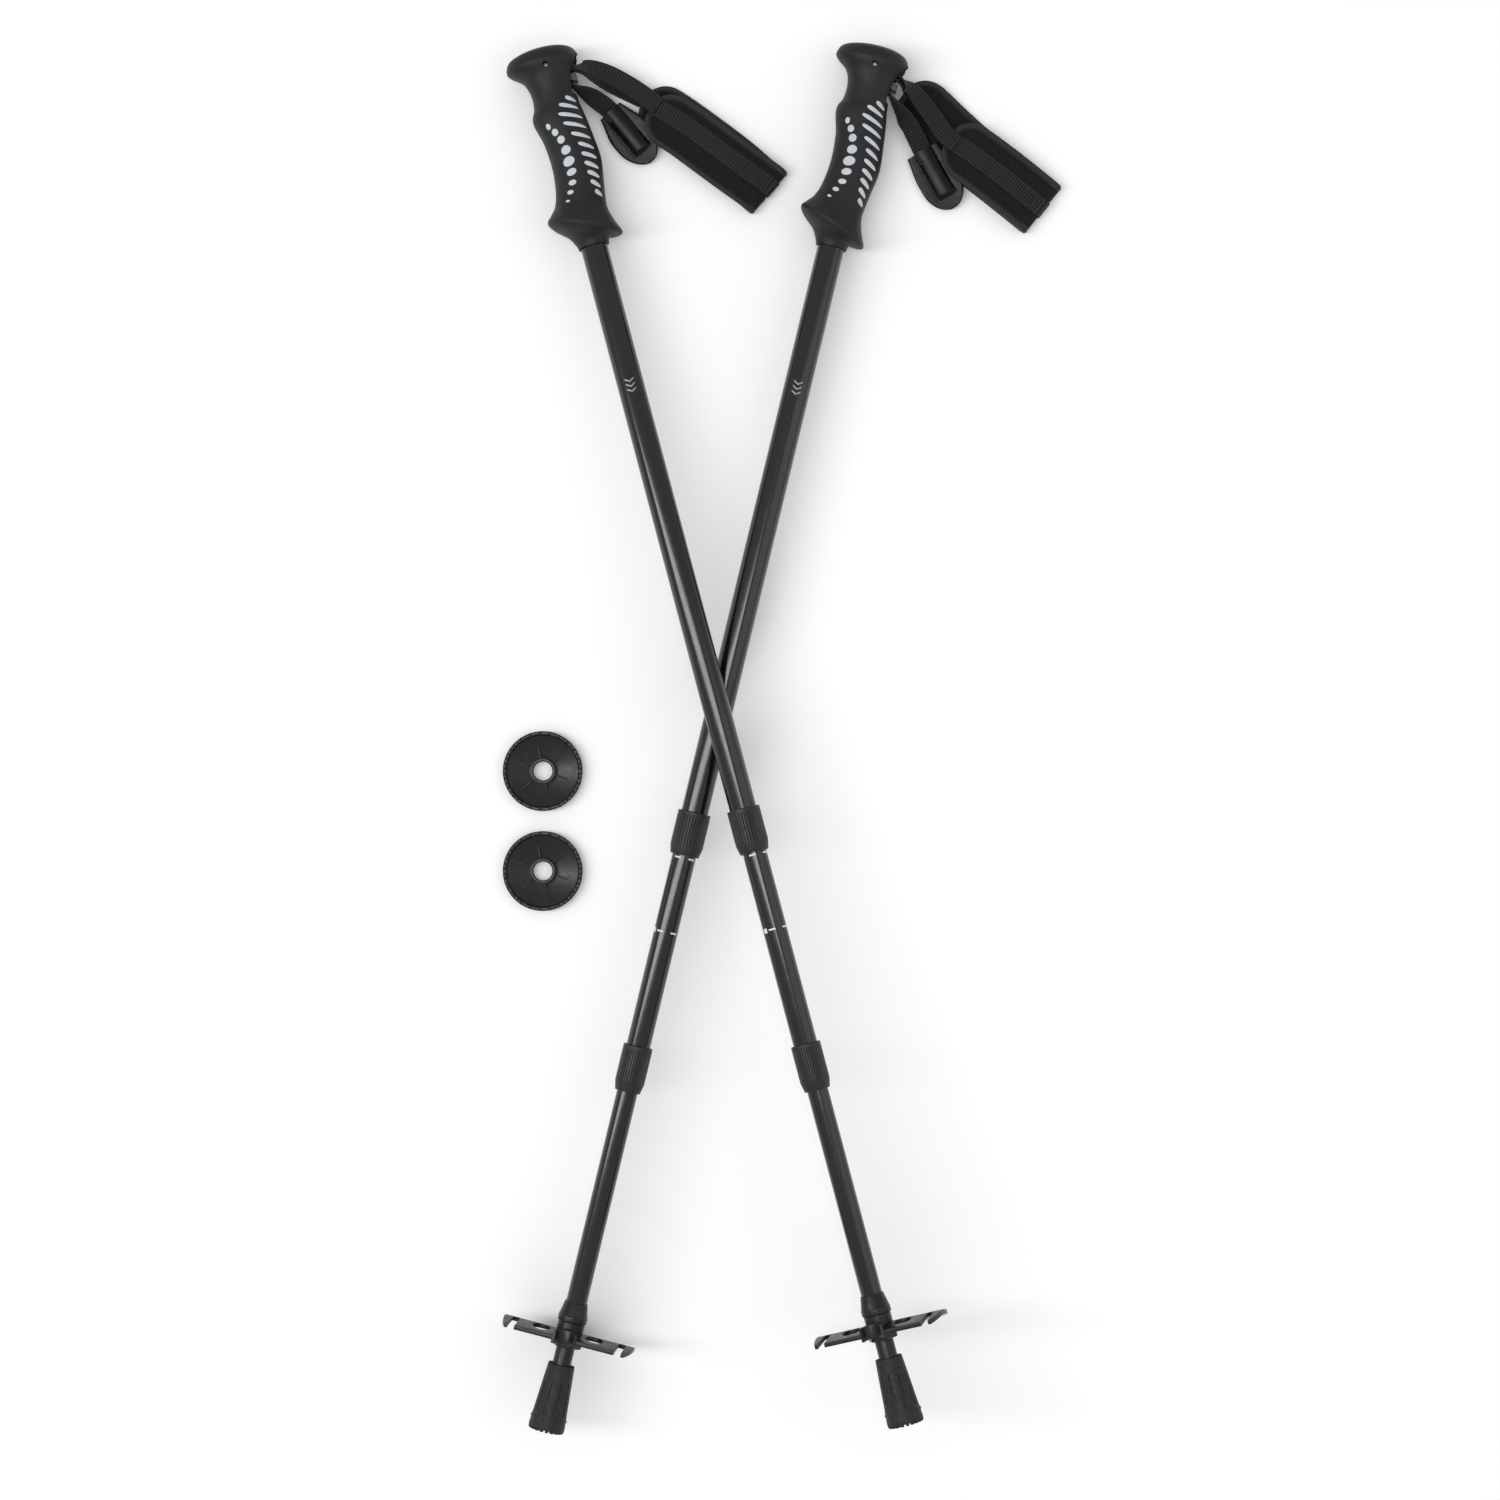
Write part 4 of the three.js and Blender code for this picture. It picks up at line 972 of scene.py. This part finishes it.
def twisted_stations(route, start=0.0, end=1.0):
    """Even stations along a twisting route."""
    coarse = [catmull(route, start + (end - start) * step / 400) for step in range(401)]
    points = [Vector(row[:3]) for row in coarse]
    distances = [0.0]
    for before, after in zip(points, points[1:]):
        distances.append(distances[-1] + (after - before).length)
    count = round(distances[-1] / (WEAVE_PITCH / 8))
    stations = []
    index = 0
    for step in range(count + 1):
        distance = distances[-1] * step / count
        while index < len(distances) - 2 and distances[index + 1] < distance:
            index += 1
        share = (distance - distances[index]) / max(distances[index + 1] - distances[index], 1e-9)
        centre = points[index].lerp(points[index + 1], share)
        low, high = max(index - 3, 0), min(index + 4, len(points) - 1)
        tangent = (points[high] - points[low]).normalized()
        twist = math.radians(coarse[index][3] + (coarse[index + 1][3] - coarse[index][3]) * share)
        flat = tangent.cross(UP).normalized()
        edge = flat.cross(tangent).normalized()
        across = flat * math.cos(twist) + edge * math.sin(twist)
        stations.append((centre, across, tangent.cross(across).normalized(), distance))
    return stations


class PadSpine:
    """The pad's middle line: along the lower layer, round the fold and back along the top layer."""

    def __init__(self, strap):
        under = [Vector(catmull(strap["under"], step / 80)) for step in range(81)]
        over = [Vector(catmull(strap["over"], step / 80)) for step in range(81)]
        heading = under[-1] - under[-2]
        heading.z = 0
        heading.normalize()
        middle, radius = (under[-1] + over[0]) / 2, (over[0].z - under[-1].z) / 2
        fold = []
        for step in range(1, FOLD_STEPS):
            angle = math.pi * step / FOLD_STEPS
            fold.append(middle + heading * radius * math.sin(angle) - UP * radius * math.cos(angle))
        self.points = under + fold + over
        self.across = []
        for index, point in enumerate(self.points):
            if index < 81:
                step = self.points[min(index + 1, 80)] - self.points[max(index - 1, 0)]
            elif index < 81 + len(fold):
                step = heading
            else:
                first = 80 + len(fold) + 1
                last = len(self.points) - 1
                step = self.points[max(index - 1, first)] - self.points[min(index + 1, last)]
            plan = Vector((step.x, step.y, 0)).normalized()
            self.across.append(Vector((-plan.y, plan.x, 0)))
        self.distances = [0.0]
        for before, after in zip(self.points, self.points[1:]):
            self.distances.append(self.distances[-1] + (after - before).length)
        self.length = self.distances[-1]
        self.fold_middle = self.distances[80 + FOLD_STEPS // 2]

    def at(self, distance):
        """Centre, across and outward directions at a distance along the spine."""
        distance = min(max(distance, 0), self.length)
        index = int(np.searchsorted(self.distances, distance, side="right")) - 1
        index = min(max(index, 0), len(self.points) - 2)
        gap = max(self.distances[index + 1] - self.distances[index], 1e-9)
        share = (distance - self.distances[index]) / gap
        centre = self.points[index].lerp(self.points[index + 1], share)
        across = self.across[index].lerp(self.across[index + 1], share).normalized()
        low, high = max(index - 1, 0), min(index + 2, len(self.points) - 1)
        tangent = (self.points[high] - self.points[low]).normalized()
        return centre, across, across.cross(tangent).normalized()


def pad_half_width(distance, length, half_width):
    """Half the pad's width at a distance along it, round at both ends."""
    end = min(distance, length - distance)
    rounding = min(max(end / (half_width * 0.95), 0), 1)
    return half_width * math.sqrt(1 - 0.9 * (1 - rounding) ** 2.2)


def crowded(step, count, crowding):
    """Step of count as a place from -1 to 1, with the steps crowded towards both ends."""
    place = 2 * step / count - 1
    return math.sin(math.pi / 2 * place) * crowding + place * (1 - crowding)


def pad_grid(length, half_width):
    """Rows of (distance along, place across, distance in from the pad's edge)."""
    rows, columns = int(length / 1.15), 50
    ends = [length * (0.5 - 0.5 * math.cos(math.pi * step / rows)) for step in range(rows + 1)]
    evenly = [length * step / rows for step in range(rows + 1)]
    distances = [0.35 * a + 0.65 * b for a, b in zip(ends, evenly)]
    outline = []
    for step in range(241):
        distance = length * step / 240
        half = pad_half_width(distance, length, half_width)
        outline += [(distance, half), (distance, -half)]
    first = pad_half_width(0, length, half_width)
    outline += [(end, first * (step / 8 - 1)) for end in (0, length) for step in range(17)]
    outline = np.array(outline)
    grid = []
    for distance in distances:
        half = pad_half_width(distance, length, half_width)
        row = []
        for column in range(columns + 1):
            across = half * crowded(column, columns, 0.4)
            gap = np.hypot(outline[:, 0] - distance, outline[:, 1] - across).min()
            row.append((distance, across, float(gap)))
        grid.append(row)
    return grid


RIM_WIDTH = 3.8
SEAM_INSET = 5.0


def pad_height(inset, across, stripe_shift, outer, fold):
    """Half thickness of the pad: round rim, stitched seam, padded panel and a flat bed for the strap.
    Towards the fold, where fold is 1, the seam is pulled out flat."""
    rim = 2.1 * math.sqrt(max(0, 1 - ((inset - RIM_WIDTH / 2) / (RIM_WIDTH / 2 + 0.06)) ** 2))
    seam = 0.55 + 1.2 * fold
    rise = smooth(SEAM_INSET, SEAM_INSET + 4.5, inset)
    panel = 1.75 * rise + seam * (1 - rise)
    height = rim if inset < RIM_WIDTH * 0.55 else max(rim, seam) if inset < SEAM_INSET else panel
    if outer:
        bed = 1 - smooth(STRAP_WIDTH / 2 + 0.2, STRAP_WIDTH / 2 + 2.2, abs(across - stripe_shift))
        height = height * (1 - bed) + min(height, 1.45) * bed
    return max(height, 0.05)


def make_pad(suffix, strap):
    """The padded band: a closed skin that is blown up between its seams by a cloth simulation."""
    spine = PadSpine(strap)
    half_width, shift = strap["half_width"], strap["stripe_shift"]
    grid = pad_grid(spine.length, half_width)
    rings, held = [], []
    for row in grid:
        centre, side, out = spine.at(row[0][0])
        fold = 1 - smooth(3, 9, abs(row[0][0] - spine.fold_middle))
        top, bottom = [], []
        for _, across, inset in row:
            point = centre + side * across
            lift = pad_height(inset, across, shift, True, fold)
            drop = pad_height(inset, across, shift, False, fold)
            top.append((point + out * lift, inset, abs(across - shift) < STRAP_WIDTH / 2 + 0.6))
            bottom.append((point - out * drop, inset, False))
        ring = top + bottom[::-1]
        rings.append([point for point, _, _ in ring])
        held += [inset < SEAM_INSET + 0.9 or under_strap for _, inset, under_strap in ring]
    shape = skin(rings)
    matrix = strap_matrix(suffix)
    body = f"strap_{suffix}"
    mesh = bpy.data.meshes.new(f"wrist_pad_{suffix}")
    mesh.from_pydata([matrix @ Vector(vertex) for vertex in shape[0]], [], shape[1])
    mesh.materials.append(FINISH["knit"].material)
    mesh.materials.append(FINISH["rim"].material)
    sides = len(rings[0])
    for polygon in mesh.polygons:
        if len(polygon.vertices) > 4:
            polygon.material_index = 1
            continue
        insets = [grid[v // sides][min(v % sides, sides - 1 - v % sides)][2] for v in polygon.vertices]
        polygon.material_index = 1 if sum(insets) / 4 < RIM_WIDTH + 0.15 else 0
    pad = bpy.data.objects.new(mesh.name, mesh)
    bpy.context.scene.collection.objects.link(pad)
    puff(pad, held)
    clean(pad.data)
    shade(pad.data, 65)
    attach(pad, body)
    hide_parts(f"strap_pad_{suffix}")
    return spine


PUFF_FRAMES = 14
PUFF_CAP = 0.75 * MM


def puff(pad, held):
    """Blows the panels up between the held seams and caps how far a point moves."""
    rest = [vertex.co.copy() for vertex in pad.data.vertices]
    group = pad.vertex_groups.new(name="seams")
    group.add([index for index, fixed in enumerate(held) if fixed], 1.0, "REPLACE")
    cloth = pad.modifiers.new("puff", "CLOTH")
    settings = cloth.settings
    settings.vertex_group_mass = "seams"
    settings.quality = 5
    settings.mass = 0.02
    settings.tension_stiffness = 8
    settings.compression_stiffness = 8
    settings.shear_stiffness = 4
    settings.bending_stiffness = 0.02
    settings.use_pressure = True
    settings.uniform_pressure_force = 2.5
    settings.effector_weights.gravity = 0
    cloth.collision_settings.use_collision = False
    cloth.point_cache.frame_start, cloth.point_cache.frame_end = 1, PUFF_FRAMES
    scene = bpy.context.scene
    for number in range(1, PUFF_FRAMES + 1):
        scene.frame_set(number)
    bake_modifiers(pad)
    for vertex, start in zip(pad.data.vertices, rest):
        step = vertex.co - start
        if step.length > PUFF_CAP:
            vertex.co = start + step.normalized() * PUFF_CAP
    scene.frame_set(1)


def stitch(centre, along, out, length=1.7, radius=0.27):
    """One thread stitch: a small capsule that dips at both ends."""
    side = along.cross(out).normalized()
    rings = []
    for step in range(6):
        t = step / 5 * 2 - 1
        thick = radius * math.sqrt(max(0.06, 1 - t * t))
        middle = centre + along * (t * length / 2) - out * (0.28 * t * t)
        rings.append([
            middle + side * (thick * math.cos(a)) + out * (thick * math.sin(a))
            for a in (math.pi * corner / 3 for corner in range(6))
        ])
    return skin(rings)


def pad_stitching(spine, strap):
    """Rows of stitches beside the rim and along both edges of the sewn strap."""
    half_width, shift = strap["half_width"], strap["stripe_shift"]
    stitches = []
    pitch = 2.7
    for number in range(int((spine.length - 6) / pitch)):
        distance = 4 + pitch * number
        half = pad_half_width(distance, spine.length, half_width)
        ahead_half = pad_half_width(distance + 0.5, spine.length, half_width)
        centre, side, out = spine.at(distance)
        ahead, _, _ = spine.at(distance + 0.5)
        for edge in (-1, 1):
            place = edge * (half - SEAM_INSET + 0.4)
            point = centre + side * place + out * 1.12
            forward = ahead + side * (edge * (ahead_half - SEAM_INSET + 0.4)) + out * 1.12 - point
            if half > SEAM_INSET + 8:
                stitches.append(stitch(point, forward.normalized(), out))
            if 9 < distance < spine.length - 3:
                on_strap = centre + side * (shift + edge * (STRAP_WIDTH / 2 - 1.1)) + out * 2.52
                stitches.append(stitch(on_strap, (ahead - centre).normalized(), out, 1.7, 0.22))
    return merge(*stitches)


def stripe_stations(spine, strap):
    """The webbing sewn along the outside of the pad, from its lower end round to the top one."""
    start, end = 5.0, spine.length - 1.5
    count = round((end - start) / (WEAVE_PITCH / 8))
    stations = []
    for step in range(count + 1):
        distance = start + (end - start) * step / count
        centre, side, out = spine.at(distance)
        middle = centre + side * strap["stripe_shift"] + out * 1.95
        stations.append((middle, side, out, distance))
    return stations


def tab_shape(neck, point):
    """Vinyl pull tab with a raised tunnel over the strap. Neck is the mouth's share of the width, and
    point is how sharply the far end closes."""
    rows, columns = 96, 72
    grid = []
    for row in range(rows + 1):
        t = math.sin(math.pi / 2 * row / rows) * 0.3 + row / rows * 0.7
        shoulder = neck + (1 - neck) * smooth(-0.1, 0.45, t)
        tail = math.sqrt(max(0.0, 1 - (max(0, t - 0.58) / 0.42) ** (2 - 0.6 * point) * 0.985))
        half = TAB_HALF_WIDTH * shoulder * tail
        line = []
        for column in range(columns + 1):
            x = half * crowded(column, columns, 0.35)
            line.append((x, t, half - abs(x)))
        grid.append(line)
    rings = []
    for line in grid:
        top, bottom = [], []
        for x, t, inset in line:
            end_gap = (1 - t) * TAB_LENGTH
            closing = smooth(8.0, 11.5, end_gap)
            crown = math.cos(min(abs(x) / TUNNEL_HALF_WIDTH, 1) * math.pi / 2) ** 0.55
            tunnel = TUNNEL_HEIGHT * crown * closing
            seam = 0.12 * (1 - smooth(0.4, 1.2, abs(abs(x) - TUNNEL_SEAM))) * closing
            edge = TAB_SHEET * smooth(-0.1, 1.6, min(inset, end_gap)) ** 0.5
            sag = 0.3 * math.sin(x / 7) * math.sin(t * 3.4 + 0.6) * (1 - 0.7 * crown * closing)
            y = -t * TAB_LENGTH
            top.append((x, y, edge + tunnel - seam + sag))
            bottom.append((x, y, -edge + sag))
        rings.append(top + bottom[::-1])
    return skin(rings)


def tab_stitching():
    """Stitches beside the tunnel and across its closed end."""
    stitches = []
    for number in range(13):
        y = -4 - 2.3 * number
        for edge in (-1, 1):
            stitches.append(stitch(Vector((edge * TUNNEL_SEAM, y, 0.42)), Vector((0, -1, 0)), UP, 1.4, 0.13))
    for number in range(6):
        stitches.append(stitch(Vector((-5.75 + 2.3 * number, -35.6, 0.48)), Vector((1, 0, 0)), UP, 1.4, 0.13))
    return merge(*stitches)


def tab_matrix(suffix, strap):
    mouth, heading = strap["tab"]["mouth"], strap["tab"]["heading"]
    turn = Matrix.Rotation(math.atan2(heading[1], heading[0]) + math.pi / 2, 4, "Z")
    tilt = Matrix.Rotation(-math.radians(TAB_TILT), 4, "Y")
    return strap_matrix(suffix) @ Matrix.Translation(mouth) @ turn @ tilt


def wedge_shape():
    """The strap's locking block: a bevelled wedge with grip ridges on its outer end."""
    outline = fillet([(7.5, -5.4), (18, -7.6), (18, -12.6), (14.8, -12), (7.5, -6.8)], 0.5, 3)
    rings = []
    for step in range(31):
        z = 5.8 * (2 * step / 30 - 1)
        inset = 0.5 * smooth(5.2, 5.8, abs(z))
        ridge = 0.3 * (0.5 + 0.5 * math.cos(2 * math.pi * z / 2.4)) * (1 - smooth(4.2, 5, abs(z)))
        ring = []
        for x, y in outline:
            grip = ridge * smooth(16.8, 17.6, x)
            ring.append((x - grip - inset * smooth(15, 18, x), y * (1 - 0.02 * inset), 19.2 + z))
        rings.append(ring)
    return skin(rings)


def make_strap(suffix):
    strap, body, matrix = STRAPS[suffix], f"strap_{suffix}", strap_matrix(suffix)
    build_webbing(f"webbing_{suffix}", twisted_stations(strap["webbing"]), STRAP_THICKNESS, matrix, body,
                  f"strap_webbing_{suffix}")
    build_webbing(f"return_webbing_{suffix}", twisted_stations(strap["returning"]), STRAP_THICKNESS, matrix,
                  body, f"strap_return_{suffix}")
    spine = make_pad(suffix, strap)
    build_webbing(f"sewn_webbing_{suffix}", stripe_stations(spine, strap), SEWN_THICKNESS, matrix, body)
    build(f"pad_stitching_{suffix}", pad_stitching(spine, strap), matrix, "thread", body, 60)
    tab, place = tab_shape(strap["tab"]["neck"], strap["tab"]["point"]), tab_matrix(suffix, strap)
    build(f"pull_tab_{suffix}", tab, place, "vinyl", body, 50, f"strap_tab_{suffix}")
    build(f"tab_stitching_{suffix}", tab_stitching(), place, "thread", body, 60)
    build(f"locking_wedge_{suffix}", wedge_shape(), matrix, "wedge", f"wedge_{suffix}",
          replaces=f"strap_wedge_{suffix}")


# ------------------------------------------------------------------ parts hidden inside

def finish_hidden(suffix):
    """Materials for the lock parts and the grip core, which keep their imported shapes."""
    finishes = {f"grip_core_{suffix}": "core"}
    for section in ("middle", "lower"):
        for part in ("expander", "cone", "screw"):
            finishes[f"{section}_{part}_{suffix}"] = part
    for node, finish in finishes.items():
        for slot in frame["nodes"][node].material_slots:
            slot.material = FINISH[finish].material


# ------------------------------------------------------------------ stage, lights, camera

CAMERA_OVER = (-0.0231, -0.0102)
CAMERA_HEIGHT = 2.2
PICTURE_WIDTH = 1.0
PICTURE_LEVEL = 0.03
SENSOR = 36.0


def make_stage():
    mesh = bpy.data.meshes.new("floor")
    reach = 4.0
    corners = [(-reach, -reach, 0), (reach, -reach, 0), (reach, reach, 0), (-reach, reach, 0)]
    mesh.from_pydata(corners, [], [(0, 1, 2, 3)])
    mesh.materials.append(FINISH["floor"].material)
    floor = bpy.data.objects.new("floor", mesh)
    bpy.context.scene.collection.objects.link(floor)


def area_light(name, place, target, size, watts, colour=(1, 1, 1)):
    light = bpy.data.lights.new(name, "AREA")
    light.shape = "RECTANGLE"
    light.size, light.size_y = size
    light.energy = watts
    light.color = colour
    lamp = bpy.data.objects.new(name, light)
    lamp.location = place
    lamp.rotation_euler = (Vector(target) - Vector(place)).to_track_quat("-Z", "Y").to_euler()
    bpy.context.scene.collection.objects.link(lamp)


def make_lights():
    world = bpy.data.worlds.new("studio")
    world.use_nodes = True
    background = world.node_tree.nodes["Background"]
    background.inputs["Color"].default_value = (1, 1, 1, 1)
    background.inputs["Strength"].default_value = 0.62
    bpy.context.scene.world = world
    area_light("key_left", (-1.4, 0.0, 3.0), (0, 0, 0), (0.6, 4.0), 62, (0.96, 0.98, 1.0))
    area_light("fill_right", (2.2, 0.0, 1.8), (0, 0, 0), (1.4, 3.2), 10)


def make_camera():
    camera = bpy.data.cameras.new("camera")
    camera.sensor_width = SENSOR
    camera.lens = SENSOR * (CAMERA_HEIGHT - PICTURE_LEVEL) / PICTURE_WIDTH
    camera.clip_start, camera.clip_end = 0.05, 20
    eye = bpy.data.objects.new("camera", camera)
    eye.location = (*CAMERA_OVER, CAMERA_HEIGHT)
    bpy.context.scene.collection.objects.link(eye)
    bpy.context.scene.camera = eye


make_camera()
for pole in ("a", "b"):
    make_grip(pole)
    make_tubes(pole)
    make_tip(pole)
    make_basket(pole)
    make_strap(pole)
    finish_hidden(pole)
for spare in (1, 2):
    make_spare(spare)
make_stage()
make_lights()
bpy.context.scene.view_settings.view_transform = "Standard"

bpy.context.view_layer.update()
